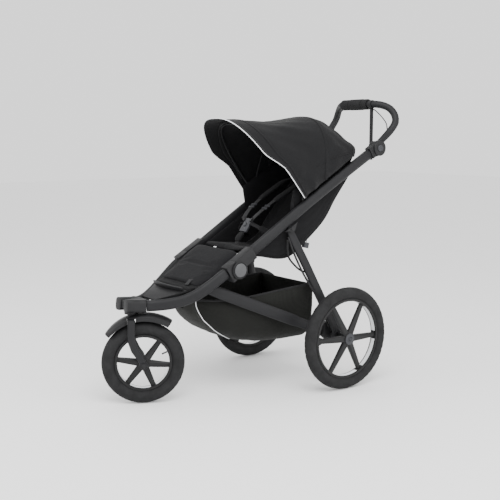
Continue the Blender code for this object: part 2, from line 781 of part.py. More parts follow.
def make_handlebar():
    left = smooth_path([at(x, y, z) for x, y, z in HANDLE_SIDE], 2)
    right = [Vector((-p.x, p.y, p.z)) for p in reversed(left)]
    straight = [at(x, *GRIP_CENTRE) for x in (0.0940, 0.0300, -0.0300, -0.0940)]
    path = [*left, *straight, *right]
    bar = sweep(path, 2 * BAR_RADIUS, 2 * BAR_RADIUS, Vector((0, -0.72, 0.69)), 12, 2.0,
                lambda t: 1 - 0.28 * max(0.0, 1 - min(t, 1 - t) / 0.12))
    hubs = []
    for _, side in SIDES:
        hub = disc(HANDLE_PIVOT, 0.0290, *sorted((side * 0.1505, side * 0.1757)), 28, 0.0015)
        hubs.append(hub)
    holes = [disc(HANDLE_PIVOT, 0.0064, *sorted((s * 0.14, s * 0.18)), 16) for _, s in SIDES]
    finish("handlebar", cut(union(bar, *hubs), *holes), "frame", side_point(0, HANDLE_PIVOT))

    for name, low, high in (("grip_left", 0.0384, 0.0700), ("grip_right", -0.0880, -0.0384)):
        finish(name, sleeve(low, high, GRIP_RADIUS), "foam", side_point(0, GRIP_CENTRE))
    finish("brake_grip", sleeve(-0.0380, 0.0380, GRIP_RADIUS + 0.001), "foam", side_point(0, GRIP_CENTRE))


def sleeve(low, high, radius):
    """A grip sleeve round the bar, with a running gap inside."""
    bore = BAR_RADIUS + 0.0005
    profile = [(low, bore), (low, radius - 0.002), (low + 0.002, radius), (high - 0.002, radius),
               (high, radius - 0.002), (high, bore)]
    return turned(profile, side_point(0, GRIP_CENTRE), 24, closed=True)


def make_cables():
    """The two brake cables from the grip to the bar's legs, and the hanging wrist strap."""
    for name, side in SIDES:
        route = [
            at(side * 0.1030, 0.3410, 1.1050),
            at(side * 0.1180, 0.3430, 1.0900),
            at(side * 0.1430, 0.3480, 1.0680),
            at(side * 0.1620, 0.3500, 1.0430),
            at(side * 0.1690, 0.3470, 1.0180),
        ]
        cable = sweep(smooth_path(route, 4), 0.0034, 0.0034, Vector((1, 0, 0.05)), 6, 2.0)
        finish("brake_cable_" + name, cable, "plastic")
    drop = [at(0.0890, 0.3370, z) for z in (1.1085, 1.08, 1.02, 0.96, 0.890)]
    finish("wrist_strap", sweep(drop, 0.020, 0.004, Vector((1, 0, 0)), 8, 4.0), "webbing")


# ---------------------------------------------------------------- rear frame


def make_rear_legs():
    for name, side in SIDES:
        route = [
            at(LEG_TOP_X, LEG_TOP[0] + 0.001, LEG_TOP[1] - 0.005),
            at(0.1690, -0.150, 0.595),
            at(0.1900, -0.110, 0.505),
            at(0.2320, -0.048, 0.345),
            at(0.2600, -0.012, 0.250),
            side_point(LEG_FOOT_X, LEG_FOOT),
        ]
        tube = sweep(smooth_path(route, 2), 0.0190, 0.038, Vector((0, 0.93, 0.36)), 10, 2.8,
                     lambda t: 0.74 + 0.28 * min(1.0, 5.0 * t) - 0.10 * t)
        top = disc(LEG_TOP, 0.0125, 0.1605, 0.1768, 24, 0.0015)
        foot = disc(LEG_FOOT, 0.0230, LEG_FOOT_X - 0.0078, LEG_FOOT_X + 0.0078, 28, 0.0015)
        outside = disc(LEG_TOP, 0.0200, 0.1769, 0.20, 24)
        inside = disc(LEG_FOOT, 0.0320, 0.24, LEG_FOOT_X - 0.0079, 28)
        beyond = disc(LEG_FOOT, 0.0320, LEG_FOOT_X + 0.0079, 0.30, 28)
        leg = cut(union(tube, top, foot), outside, inside, beyond,
                  disc(LEG_TOP, 0.0054, 0.15, 0.19, 16), disc(LEG_FOOT, 0.0125, 0.24, 0.30, 24))
        finish("rear_leg_" + name, mirrored(leg, side), "frame", side_point(side * LEG_TOP_X, LEG_TOP))


def stay_place(t):
    """The (y, z) place along a chainstay, from its front pivot to the rear axle."""
    return (STAY_FRONT[0] * (1 - t), STAY_FRONT[1] * (1 - t) + REAR_RADIUS * t)


def stay_depth(t):
    """The chainstay's section at t along its points, against the full section."""
    if t < 0.3:
        return 0.78 + 0.22 * t / 0.3
    return 1.0 if t < 0.70 else 0.86


def make_rear_frame():
    for name, side in SIDES:
        points = []
        for t in (0.0, 0.04, 0.12, 0.30, 0.55, 0.68, 0.72, 0.88, 0.930):
            x = STAY_FRONT_X + (STAY_REAR_X - STAY_FRONT_X) * min(1.0, t / 0.930)
            points.append(side_point(x, stay_place(t)))
        tube = sweep(points, 0.0190, 0.046, Vector((0, 0, 1)), 12, 3.0, stay_depth)
        eye = disc(STAY_FRONT, 0.0180, STAY_FRONT_X - 0.0085, STAY_FRONT_X + 0.0085, 24, 0.0015)
        hole = disc(STAY_FRONT, 0.0065, 0.10, 0.16, 16)
        finish("chainstay_" + name, mirrored(cut(union(tube, eye), hole), side), "frame",
               side_point(side * STAY_FRONT_X, STAY_FRONT))

    place = (0.0, REAR_RADIUS)
    beam = disc(place, 0.0110, -0.2380, 0.2380, 20)
    parts = []
    for _, side in SIDES:
        block = [(-0.0270, REAR_RADIUS - 0.006), (-0.0270, REAR_RADIUS + 0.030), (0.010, REAR_RADIUS + 0.024),
                 (0.024, REAR_RADIUS + 0.008), (0.024, REAR_RADIUS - 0.012), (0.008, REAR_RADIUS - 0.024),
                 (-0.012, REAR_RADIUS - 0.022)]
        parts.append(slab(block, *sorted((side * 0.2140, side * 0.2400))))
        parts.append(disc(place, 0.0120, *sorted((side * 0.2300, side * 0.2800)), 20))
        parts.append(disc(place, 0.0070, *sorted((side * 0.2600, side * 0.3300)), 16))
    finish("rear_axle", union(beam, *parts), "plastic", side_point(0, place))

    pedal = union(
        disc(PEDAL_PIVOT, 0.0085, 0.1750, 0.2090, 16),
        slab([(-0.010, 0.164), (-0.052, 0.148), (-0.056, 0.154), (-0.012, 0.173)], 0.1780, 0.2060),
    )
    pedal = cut(pedal, disc(PEDAL_PIVOT, 0.0042, 0.16, 0.2095, 12))
    finish("brake_pedal", pedal, "plastic", side_point(0.192, PEDAL_PIVOT))
    bolt = union(disc(PEDAL_PIVOT, 0.0038, 0.1730, 0.2200, 12),
                 slab([(-0.021, 0.160), (0.001, 0.160), (0.001, 0.1900), (-0.021, 0.1900)], 0.2094, 0.2136))
    finish("pedal_bracket", bolt, "plastic", side_point(0.2, PEDAL_PIVOT))


# Each station is the basket's y, its half width, its rim height and its floor height.
BASKET_STATIONS = [
    (-0.566, 0.040, 0.3820, 0.3400),
    (-0.545, 0.075, 0.3780, 0.3050),
    (-0.505, 0.100, 0.3740, 0.2680),
    (-0.440, 0.128, 0.3720, 0.2300),
    (-0.360, 0.146, 0.3760, 0.1980),
    (-0.270, 0.160, 0.3860, 0.1800),
    (-0.170, 0.168, 0.3960, 0.1720),
    (-0.050, 0.172, 0.4040, 0.1720),
]


def trough(shrink, rise):
    """The basket's filled shape as one solid, shrunk by an inset and raised at the rim."""
    rings = []
    last = len(BASKET_STATIONS) - 1
    for index, (y, half, top, bottom) in enumerate(BASKET_STATIONS):
        if index == 0:
            y += shrink
        if index == last:
            y -= shrink
        ring = []
        for i in range(15):
            angle = math.pi * i / 14
            c, s = math.cos(angle), math.sin(angle)
            x = (half - shrink) * math.copysign(abs(c) ** 0.55, c)
            low = bottom + shrink
            ring.append(at(x, y, top - (top - low) * s ** 0.55))
        ring.append(at(shrink - half, y, top + rise))
        ring.append(at(half - shrink, y, top + rise))
        rings.append(ring)
    return loft(rings)


def make_basket():
    finish("basket", cut(trough(0.0, 0.004), trough(FABRIC, 0.030)), "fabric")


def main():
    clear_scene()
    make_head()
    make_lower_tubes()
    make_hinges()
    make_footrest()
    make_fork()
    make_front_wheel()
    make_upper_tubes()
    make_pivot_sockets()
    make_leg_brackets()
    make_seat()
    make_harness()
    make_canopy()
    make_handlebar()
    make_cables()
    make_rear_legs()
    make_rear_frame()
    make_basket()
    make_rear_wheels()


main()
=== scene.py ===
"""The finished look of a three-wheeled jogging stroller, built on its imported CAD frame."""

import json
import math

import bmesh
import bpy
from mathutils import Matrix, Vector

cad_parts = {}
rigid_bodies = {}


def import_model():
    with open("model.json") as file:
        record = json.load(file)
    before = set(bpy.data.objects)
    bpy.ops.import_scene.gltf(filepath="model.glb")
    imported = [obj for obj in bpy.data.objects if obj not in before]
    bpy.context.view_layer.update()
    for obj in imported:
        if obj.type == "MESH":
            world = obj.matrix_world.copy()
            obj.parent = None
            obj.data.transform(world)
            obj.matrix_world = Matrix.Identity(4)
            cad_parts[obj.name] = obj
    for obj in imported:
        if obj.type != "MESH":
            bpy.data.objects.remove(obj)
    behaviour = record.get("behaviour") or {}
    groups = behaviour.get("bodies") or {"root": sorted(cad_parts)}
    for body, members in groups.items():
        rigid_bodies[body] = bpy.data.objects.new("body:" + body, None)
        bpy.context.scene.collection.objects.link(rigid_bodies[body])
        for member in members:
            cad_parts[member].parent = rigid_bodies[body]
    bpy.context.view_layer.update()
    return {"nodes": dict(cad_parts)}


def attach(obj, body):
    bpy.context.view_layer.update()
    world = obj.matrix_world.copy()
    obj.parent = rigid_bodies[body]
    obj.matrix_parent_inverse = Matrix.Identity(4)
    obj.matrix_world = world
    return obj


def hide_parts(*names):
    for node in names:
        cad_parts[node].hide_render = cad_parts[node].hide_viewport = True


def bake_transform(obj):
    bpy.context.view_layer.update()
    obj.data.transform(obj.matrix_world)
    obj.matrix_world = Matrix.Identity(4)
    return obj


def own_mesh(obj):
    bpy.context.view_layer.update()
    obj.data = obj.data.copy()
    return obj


for old in list(bpy.data.objects):
    bpy.data.objects.remove(old, do_unlink=True)
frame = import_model()
NODES = frame["nodes"]

AXLE_Y = 0.2409
SIDES = (("left", 1.0), ("right", -1.0))
TUBE_SLOPE = math.atan(0.606)
HINGE = (-0.418, 0.4945)
ACROSS = Vector((1, 0, 0))
LEG_TOP = (-0.164, 0.633)
RECLINE_PIVOT = (-0.112, 0.560)
RECLINE = math.radians(48.0)
GRIP_CENTRE = (0.337, 1.1245)
REAR_RADIUS, REAR_SECTION = 0.2025, 0.0235
REAR_TRACK = 0.320
FRONT_RADIUS, FRONT_SECTION = 0.155, 0.0255
STEER_Y = -0.7756
STEER_TRAIL = 0.0425
STEER_YAW = math.radians(-26.5)


def at(x, y, z):
    """A point given from the rear axle, in the model's own frame."""
    return Vector((x, y + AXLE_Y, z))


def mirrored(side, points):
    """The points as places on one side of the stroller: 1 for left, -1 for right."""
    return [at(side * x, y, z) for x, y, z in points]


def catmull(a, b, c, d, t):
    """The Catmull-Rom curve between b and c. Works on numbers and on vectors."""
    bend = (2 * a - 5 * b + 4 * c - d) * t * t + (3 * b - 3 * c + d - a) * t**3
    return 0.5 * (2 * b + (c - a) * t + bend)


def between(stations, t):
    """The stations' values, interpolated at t counted in stations."""
    last = len(stations) - 1
    i = min(int(t), last - 1)
    four = (stations[max(i - 1, 0)], stations[i], stations[i + 1], stations[min(i + 2, last)])
    return [catmull(*values, t - i) for values in zip(*four)]


def ease(value, low, width):
    """0 below low, 1 above low + width, and straight between them."""
    return min(1.0, max(0.0, (value - low) / width))


def ease_smooth(value, low, width):
    """As ease, with a smooth start and end."""
    t = ease(value, low, width)
    return t * t * (3 - 2 * t)


def spread(count):
    """count + 1 numbers from -1 to 1."""
    return [2 * i / count - 1 for i in range(count + 1)]


def up_slope(start, slope, distance, rise):
    """The (y, z) place a distance up a slope from its start, and a rise square to it."""
    c, s = math.cos(slope), math.sin(slope)
    return (start[0] + distance * c - rise * s, start[1] + distance * s + rise * c)


def outward(angle):
    """The way out from the X axis at an angle round it."""
    return Vector((0, math.cos(angle), math.sin(angle)))


def blend(piece):
    """Bakes the piece's placement into its own mesh."""
    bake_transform(piece)


# ---- camera, floor and light


def make_camera():
    """The camera solved from the photo's wheel outlines."""
    data = bpy.data.cameras.new("camera")
    data.lens = 61.69
    data.sensor_width = 36.0
    data.clip_end = 50
    camera = bpy.data.objects.new("camera", data)
    camera.location = at(2.78314, -2.22795, 0.99393)
    aim = at(-0.0460, -0.2012, 0.5280) - camera.location
    camera.rotation_mode = "QUATERNION"
    camera.rotation_quaternion = aim.to_track_quat("-Z", "Y")
    bpy.context.scene.collection.objects.link(camera)
    bpy.context.scene.camera = camera


def area_light(name, place, aim, size, power, colour=(1, 1, 1)):
    data = bpy.data.lights.new(name, "AREA")
    data.shape = "RECTANGLE"
    data.size, data.size_y = size
    data.energy = power
    data.color = colour
    light = bpy.data.objects.new(name, data)
    light.location = place
    light.rotation_mode = "QUATERNION"
    light.rotation_quaternion = (Vector(aim) - Vector(place)).to_track_quat("-Z", "Y")
    bpy.context.scene.collection.objects.link(light)


def make_studio():
    """A white floor, a white world and three soft lights."""
    bpy.ops.mesh.primitive_plane_add(size=30, location=(0, 0, 0))
    floor = bpy.context.object
    floor.name = "floor"
    floor.data.materials.append(floor_material())
    world = bpy.data.worlds.new("studio")
    world.use_nodes = True
    world.node_tree.nodes["Background"].inputs["Color"].default_value = (1.0, 1.0, 1.0, 1)
    world.node_tree.nodes["Background"].inputs["Strength"].default_value = 1.5
    bpy.context.scene.world = world
    area_light("key", (1.8, -1.2, 3.2), (0, 0, 0.5), (2.4, 2.4), 120)
    area_light("side", (3.2, 1.0, 1.2), (0, 0, 0.5), (1.4, 2.2), 34)
    area_light("front", (-1.4, -3.4, 1.8), (0, 0, 0.5), (2.0, 2.0), 46)


# ---- materials


class Nodes:
    """A small writer for one material's node tree."""

    def __init__(self, name):
        self.material = bpy.data.materials.new(name)
        self.material.use_nodes = True
        self.tree = self.material.node_tree
        self.shader = self.tree.nodes["Principled BSDF"]
        self.place = self.add("TexCoord").outputs["Object"]

    def add(self, kind, **values):
        node = self.tree.nodes.new("ShaderNode" + kind)
        for name, value in values.items():
            if name in node.inputs:
                node.inputs[name].default_value = value
            else:
                setattr(node, name, value)
        return node

    def link(self, source, target):
        self.tree.links.new(source, target)

    def noise(self, scale, detail=2.0, rough=0.5):
        node = self.add("TexNoise", Scale=scale, Detail=detail, Roughness=rough)
        self.link(self.place, node.inputs["Vector"])
        return node.outputs["Fac"]

    def ramp(self, source, low, high, from_low=0.0, from_high=1.0):
        node = self.add("MapRange")
        values = ((1, from_low), (2, from_high), (3, low), (4, high))
        for index, value in values:
            node.inputs[index].default_value = value
        self.link(source, node.inputs[0])
        return node.outputs[0]

    def math(self, operation, one, two=0.0):
        node = self.add("Math", operation=operation)
        for socket, value in zip(node.inputs, (one, two)):
            if isinstance(value, (int, float)):
                socket.default_value = value
            else:
                self.link(value, socket)
        return node.outputs[0]

    def mix(self, factor, one, two):
        node = self.add("Mix", data_type="RGBA")
        self.link(factor, node.inputs["Factor"])
        for socket, value in ((node.inputs[6], one), (node.inputs[7], two)):
            if isinstance(value, tuple):
                socket.default_value = (*value, 1.0)
            else:
                self.link(value, socket)
        return node.outputs[2]

    def base(self, factor, one, two):
        self.link(self.mix(factor, one, two), self.shader.inputs["Base Color"])

    def gloss(self, source, low, high):
        self.link(self.ramp(source, low, high), self.shader.inputs["Roughness"])

    def bands(self, direction, pitch, turn=(0, 0, 0)):
        """Parallel bands of that pitch, in metres."""
        mapping = self.add("Mapping")
        mapping.inputs["Rotation"].default_value = turn
        self.link(self.place, mapping.inputs["Vector"])
        node = self.add("TexWave", Scale=2 * math.pi / (20 * pitch))
        node.bands_direction = direction
        self.link(mapping.outputs[0], node.inputs["Vector"])
        return node.outputs["Fac"]

    def weave(self, pitch):
        """The height of a plain weave, on surfaces that face any way."""
        across = self.bands("X", pitch)
        rising = self.bands("Y", pitch, (math.radians(45), 0, 0))
        falling = self.bands("Z", pitch, (math.radians(45), 0, 0))
        total = self.math("ADD", self.math("ADD", across, rising), falling)
        return self.math("MULTIPLY", total, 0.333)

    def bump(self, layers):
        """Bumps in order, each (height, distance, strength)."""
        normal = None
        for height, distance, strength in layers:
            node = self.add("Bump", Distance=distance, Strength=strength)
            self.link(height, node.inputs["Height"])
            if normal:
                self.link(normal, node.inputs["Normal"])
            normal = node.outputs["Normal"]
        self.link(normal, self.shader.inputs["Normal"])

    def set(self, **values):
        for name, value in values.items():
            self.shader.inputs[name.replace("_", " ")].default_value = value


def tone(colour, factor):
    return tuple(min(1.0, c * factor) for c in colour)


def floor_material():
    n = Nodes("floor")
    n.base(n.noise(1.5), (0.93, 0.93, 0.93), (0.95, 0.95, 0.95))
    n.set(Roughness=0.75)
    return n.material


def paint(name, colour, roughness):
    """Satin powder paint: a fine orange peel and dusty patches."""
    n = Nodes(name)
    patches = n.noise(9.0, 4.0)
    n.base(patches, tone(colour, 0.85), tone(colour, 1.2))
    n.gloss(n.noise(60.0, 3.0), roughness - 0.05, roughness + 0.09)
    n.set(Specular_IOR_Level=0.20)
    n.bump([(n.noise(900.0, 2.0), 0.0002, 0.25), (n.noise(40.0, 1.0), 0.0006, 0.10)])
    return n.material


def moulded(name, colour, roughness=0.5, grain=0.35):
    """Moulded plastic with a fine spark grain and a little variation in gloss."""
    n = Nodes(name)
    n.base(n.noise(14.0, 3.0), tone(colour, 0.8), tone(colour, 1.25))
    n.gloss(n.noise(120.0, 3.0), roughness - 0.06, roughness + 0.10)
    n.set(Specular_IOR_Level=0.26)
    n.bump([(n.noise(1400.0, 3.0, 0.7), 0.0003, grain)])
    return n.material


def rubber(name, colour, roughness=0.78):
    """Tyre rubber: matt, slightly dusty, with fine moulding marks."""
    n = Nodes(name)
    dust = n.ramp(n.noise(26.0, 5.0, 0.65), 0.0, 1.0, 0.35, 0.75)
    n.base(dust, tone(colour, 0.85), tone(colour, 1.45))
    n.gloss(n.noise(90.0, 3.0), roughness - 0.1, roughness + 0.1)
    n.set(Specular_IOR_Level=0.12)
    n.bump([(n.noise(700.0, 3.0), 0.0004, 0.35)])
    return n.material


def foam(name, colour):
    """Closed foam with fine pores."""
    n = Nodes(name)
    cells = n.add("TexVoronoi", Scale=900.0)
    n.link(n.place, cells.inputs["Vector"])
    pores = cells.outputs["Distance"]
    n.base(n.noise(30.0, 3.0), tone(colour, 0.8), tone(colour, 1.3))
    n.set(Roughness=0.88, Specular_IOR_Level=0.2)
    n.bump([(pores, 0.0008, 0.5), (n.noise(50.0, 2.0), 0.001, 0.15)])
    return n.material


def cloth(name, colour, pitch=0.0011, weave_depth=0.5, wrinkle=0.25, sheen=0.12, heather=0.15):
    """Woven polyester: threads, a heathered tone, soft creases and a faint sheen. The base colour carries
    painted shade where the weave's threads lie low.
    """
    n = Nodes(name)
    threads = n.weave(pitch)
    fibre = n.noise(1600.0, 2.0, 0.7)
    fade = n.noise(7.0, 3.0)
    body = n.mix(fade, tone(colour, 0.84), tone(colour, 1.18))
    mixed = n.mix(n.math("MULTIPLY", fibre, heather), body, tone(colour, 3.0))
    # painted shade: the colour darkens toward a third of its tone where the weave lies low, between the
    # threads
    shaded_weave_colour = n.mix(n.ramp(threads, 0.0, 0.45, 0.65, 0.2), mixed, tone(colour, 0.35))
    n.link(shaded_weave_colour, n.shader.inputs["Base Color"])
    n.gloss(n.noise(220.0, 3.0), 0.82, 0.97)
    n.set(Sheen_Weight=sheen, Sheen_Roughness=0.45, Specular_IOR_Level=0.15)
    creases = n.noise(24.0, 3.0, 0.6)
    n.bump([(threads, 0.0005, weave_depth), (creases, 0.006, wrinkle)])
    return n.material


def webbing(name, colour):
    """Strap webbing with crosswise ribs, with painted light on the rib crests and painted shade in the
    grooves between them.
    """
    n = Nodes(name)
    ribs = n.weave(0.0022)
    # painted light and shade: the ribs' crests lighter, the grooves between them darker
    n.base(ribs, tone(colour, 0.55), tone(colour, 1.25))
    n.gloss(n.noise(300.0, 2.0), 0.65, 0.85)
    n.set(Sheen_Weight=0.05, Sheen_Roughness=0.4, Specular_IOR_Level=0.25)
    n.bump([(ribs, 0.0007, 0.6)])
    return n.material


def netting(name, colour):
    """Fine knitted mesh: lighter threads, with painted shade in the cells between them where the openings
    would show the shaded inside.
    """
    n = Nodes(name)
    cells = n.add("TexVoronoi", Scale=420.0, feature="DISTANCE_TO_EDGE")
    n.link(n.place, cells.inputs["Vector"])
    thread = n.ramp(cells.outputs["Distance"], 1.0, 0.0, 0.02, 0.16)
    # painted shade: the cells between the threads are darkened to a third of the net's tone
    n.base(thread, tone(colour, 0.35), tone(colour, 1.5))
    n.gloss(n.noise(60.0, 2.0), 0.75, 0.92)
    n.bump([(thread, 0.0006, 0.7), (n.noise(26.0, 2.0), 0.005, 0.2)])
    return n.material


def reflective(name):
    """Silver reflective tape: tiny glass beads in a grey carrier."""
    n = Nodes(name)
    beads = n.noise(2400.0, 1.0)
    n.base(beads, (0.72, 0.73, 0.75), (0.90, 0.91, 0.93))
    n.gloss(n.noise(100.0, 2.0), 0.28, 0.45)
    n.set(Metallic=0.1)
    n.bump([(beads, 0.0002, 0.3)])
    return n.material


def make_materials():
    return {
        "frame": paint("frame_paint", (0.0105, 0.0106, 0.0116), 0.5),
        "plastic": moulded("black_plastic", (0.0080, 0.0080, 0.0088)),
        "grey": moulded("grey_plastic", (0.030, 0.031, 0.035), 0.42, 0.2),
        "medallion": moulded("hinge_cap", (0.060, 0.061, 0.064), 0.34, 0.12),
        "rim": moulded("rim_nylon", (0.0060, 0.0060, 0.0064), 0.46, 0.2),
        "tyre": rubber("tyre_rubber", (0.0150, 0.0150, 0.0155)),
        "foam": foam("grip_foam", (0.0110, 0.0110, 0.0115)),
        "shell": cloth("canopy_cloth", (0.0074, 0.0074, 0.0080), 0.0010, 0.35, 0.30, 0.05),
        "lining": cloth("lining_cloth", (0.0055, 0.0055, 0.0060), 0.0012, 0.4, 0.2, 0.03),
        "seat": cloth("seat_cloth", (0.0060, 0.0060, 0.0066), 0.0013, 0.5, 0.3, 0.04),
        "panel": cloth("calf_cloth", (0.0062, 0.0062, 0.0070), 0.0016, 0.5, 0.2, 0.03),
        "basket": cloth("basket_cloth", (0.0085, 0.0088, 0.0078), 0.0012, 0.5, 0.4, 0.06),
        "net": netting("net", (0.0130, 0.0135, 0.0110)),
        "webbing": webbing("strap_webbing", (0.0110, 0.0110, 0.0120)),
        "binding": webbing("edge_binding", (0.0065, 0.0065, 0.0070)),
        "thread": cloth("thread", (0.0120, 0.0120, 0.0130), 0.0006, 0.3, 0.0, 0.05),
        "tape": reflective("reflective_tape"),
    }


M = make_materials()


# ---- shapes


def from_mesh(name, mesh, material, sharp=40.0):
    bmesh.ops.recalc_face_normals(mesh, faces=mesh.faces)
    data = bpy.data.meshes.new(name)
    mesh.to_mesh(data)
    mesh.free()
    data.shade_smooth()
    data.set_sharp_from_angle(angle=math.radians(sharp))
    data.materials.append(material)
    made = bpy.data.objects.new(name, data)
    bpy.context.scene.collection.objects.link(made)
    return made


def rounded(width, height, steps, power):
    """The corners of a rounded section, as (across, up)."""
    points = []
    for i in range(steps):
        angle = 2 * math.pi * (i + 0.5) / steps
        c, s = math.cos(angle), math.sin(angle)
        across = math.copysign(abs(c) ** (2 / power), c) * width / 2
        up = math.copysign(abs(s) ** (2 / power), s) * height / 2
        points.append((across, up))
    return points


def smooth_path(points, per_span=4):
    """A Catmull-Rom curve through the points."""
    ends = [2 * points[0] - points[1], *points, 2 * points[-1] - points[-2]]
    path = []
    for a, b, c, d in zip(ends, ends[1:], ends[2:], ends[3:]):
        for i in range(per_span):
            path.append(catmull(a, b, c, d, i / per_span))
    path.append(points[-1].copy())
    return path


def route(side, points, per_span):
    """The curve through points given for one side of the stroller."""
    return smooth_path(mirrored(side, points), per_span)


def ring_skin(mesh, rings, closed=False):
    """Faces between rings of points: with a cap at each end, or closed into a ring."""
    loops = [[mesh.verts.new(p) for p in ring] for ring in rings]
    spans = list(zip(loops, loops[1:]))
    if closed:
        spans.append((loops[-1], loops[0]))
    for one, two in spans:
        for i in range(len(one)):
            j = (i + 1) % len(one)
            mesh.faces.new((one[i], one[j], two[j], two[i]))
    if not closed:
        mesh.faces.new(loops[0][::-1])
        mesh.faces.new(loops[-1])


def swept(mesh, path, width, height, up, steps, power, taper=None):
    """Adds a bar of rounded section along a path. up is one vector, or one for each point."""
    rings = []
    for i, point in enumerate(path):
        along = (path[min(i + 1, len(path) - 1)] - path[max(i - 1, 0)]).normalized()
        rise = up[i] if isinstance(up, list) else up
        across = along.cross(rise).normalized()
        rise = across.cross(along).normalized()
        scale = taper(i / (len(path) - 1)) if taper else 1.0
        section = rounded(width * scale, height * scale, steps, power)
        rings.append([point + across * a + rise * b for a, b in section])
    ring_skin(mesh, rings)


def bar(name, path, size, up, look, body, steps=8, power=2.4, taper=None):
    """A bar of rounded section, (width, height), on a body where one is named."""
    mesh = bmesh.new()
    swept(mesh, path, *size, up, steps, power, taper)
    made = from_mesh(name, mesh, M[look])
    if body:
        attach(made, body)
    return made


def turned(name, profile, centre, steps, look, body):
    """Turns (x, radius) points about the X axis at the centre."""
    mesh = bmesh.new()
    rings = []
    for i in range(steps):
        out = outward(2 * math.pi * i / steps)
        rings.append([centre + Vector((x, 0, 0)) + out * r for x, r in profile])
    ring_skin(mesh, rings, closed=True)
    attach(from_mesh(name, mesh, M[look]), body)


def surface(name, rows, look, thickness, offset=0.0):
    """A sheet through rows of points. offset puts the thickness about, above or below it."""
    mesh = bmesh.new()
    grid = [[mesh.verts.new(p) for p in row] for row in rows]
    for one, two in zip(grid, grid[1:]):
        for i in range(len(one) - 1):
            mesh.faces.new((one[i], one[i + 1], two[i + 1], two[i]))
    made = from_mesh(name, mesh, M[look], 70.0)
    thick = made.modifiers.new("thickness", "SOLIDIFY")
    thick.thickness = thickness
    thick.offset = offset
    thick.use_even_offset = False
    return made


def stitches(name, path, normals, body):
    """A row of single stitches along a path on a surface."""
    pitch, length, thick, lift = 0.0052, 0.0034, 0.0007, 0.0006
    mesh = bmesh.new()
    reach = [0.0]
    for one, two in zip(path, path[1:]):
        reach.append(reach[-1] + (two - one).length)

    def spot(distance):
        for i in range(len(path) - 1):
            if reach[i + 1] >= distance:
                t = (distance - reach[i]) / max(reach[i + 1] - reach[i], 1e-9)
                return path[i].lerp(path[i + 1], t), normals[i].lerp(normals[i + 1], t)
        return path[-1], normals[-1]

    count = max(2, int(reach[-1] / pitch))
    for k in range(count):
        start = reach[-1] * (k + 0.15) / count
        a, up = spot(start)
        b, _ = spot(min(start + length, reach[-1]))
        if (b - a).length < 1e-5:
            continue
        lifted = up.normalized() * lift
        middle = (a + b) / 2 + lifted * 1.3
        swept(mesh, [a + lifted * 0.2, middle, b + lifted * 0.2], thick, thick, up, 5, 2.0)
    made = from_mesh(name, mesh, M["thread"], 80.0)
    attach(made, body)


def lay_flat(obj):
    """Measures the sheet's longest extent; the result is not used. Declares a sheet
    whose flat size is a rectangle of its own area.
    """
    longest = max(max(c) - min(c) for c in zip(*(v.co for v in obj.data.vertices)))


def bake(obj):
    """Makes the modifiers' result the object's own mesh."""
    graph = bpy.context.evaluated_depsgraph_get()
    graph.update()
    data = bpy.data.meshes.new_from_object(obj.evaluated_get(graph))
    old = obj.data
    obj.modifiers.clear()
    obj.data = data
    bpy.data.meshes.remove(old)


def smoothed(obj):
    fine = obj.modifiers.new("smooth", "SUBSURF")
    fine.levels = fine.render_levels = 1


def puff(obj, held, pressure, frames, cap):
    """Swells a closed pad with a short cloth simulation. held(point) says where a seam holds it."""
    grid = obj.modifiers.new("grid", "REMESH")
    grid.mode = "VOXEL"
    grid.voxel_size = 0.005
    bake(obj)
    rest = [v.co.copy() for v in obj.data.vertices]
    seam = obj.vertex_groups.new(name="seam")
    seam.add([i for i, p in enumerate(rest) if held(p)], 1.0, "REPLACE")
    sim = obj.modifiers.new("cloth", "CLOTH")
    sim.settings.quality = 4
    sim.settings.mass = 0.25
    sim.settings.use_pressure = True
    sim.settings.uniform_pressure_force = pressure
    sim.settings.effector_weights.gravity = 0
    sim.settings.tension_stiffness = 12
    sim.settings.compression_stiffness = 12
    sim.settings.bending_stiffness = 0.6
    sim.settings.vertex_group_mass = "seam"
    sim.point_cache.frame_end = frames
    for step in range(1, frames + 1):
        bpy.context.scene.frame_set(step)
    graph = bpy.context.evaluated_depsgraph_get()
    posed = obj.evaluated_get(graph).to_mesh()
    swollen = [v.co.copy() for v in posed.vertices]
    obj.modifiers.remove(sim)
    bpy.context.scene.frame_set(1)
    for vertex, old_place, new in zip(obj.data.vertices, rest, swollen):
        move = new - old_place
        if move.length > cap:
            move = move.normalized() * cap
        vertex.co = old_place + move
    obj.data.update()
    obj.data.shade_smooth()
    smoothed(obj)
    bake(obj)


def pillow(name, spot, across, along, thick, look, corner, under):
    """A closed pad. spot(u, v) gives (point, normal) for u across -1..1 and v along 0..1."""
    mesh = bmesh.new()
    sides = {}
    for layer in (1, -1):
        rows = []
        for j in range(along + 1):
            row = []
            for i in range(across + 1):
                u, v = 2 * i / across - 1, j / along
                edge_u = 1 - abs(u) ** 8
                edge_v = 1 - abs(2 * v - 1) ** 10
                crown = max(0.0, edge_u * edge_v) ** 0.5
                squeeze = 1 - corner * abs(u) ** 6 * abs(2 * v - 1) ** 6
                point, normal = spot(u * squeeze, 0.5 + (v - 0.5) * squeeze)
                edge = i in (0, across) or j in (0, along)
                if layer < 0 and edge:
                    row.append(sides[1][j][i])
                    continue
                depth = thick * crown * (1.0 if layer > 0 else -under)
                row.append(mesh.verts.new(point + normal * depth))
            rows.append(row)
        sides[layer] = rows
    for layer in (1, -1):
        rows = sides[layer]
        for j in range(along):
            for i in range(across):
                corners = (rows[j][i], rows[j][i + 1], rows[j + 1][i + 1], rows[j + 1][i])
                mesh.faces.new(corners if layer > 0 else corners[::-1])
    made = from_mesh(name, mesh, M[look], 80.0)
    return made


# ---- the cord

GRIP_LOOP_RADIUS = 0.0162
WRIST_STRAP = [(0.0890, 0.3370, z) for z in (1.1085, 1.0800, 1.0200, 0.9600, 0.8900)]


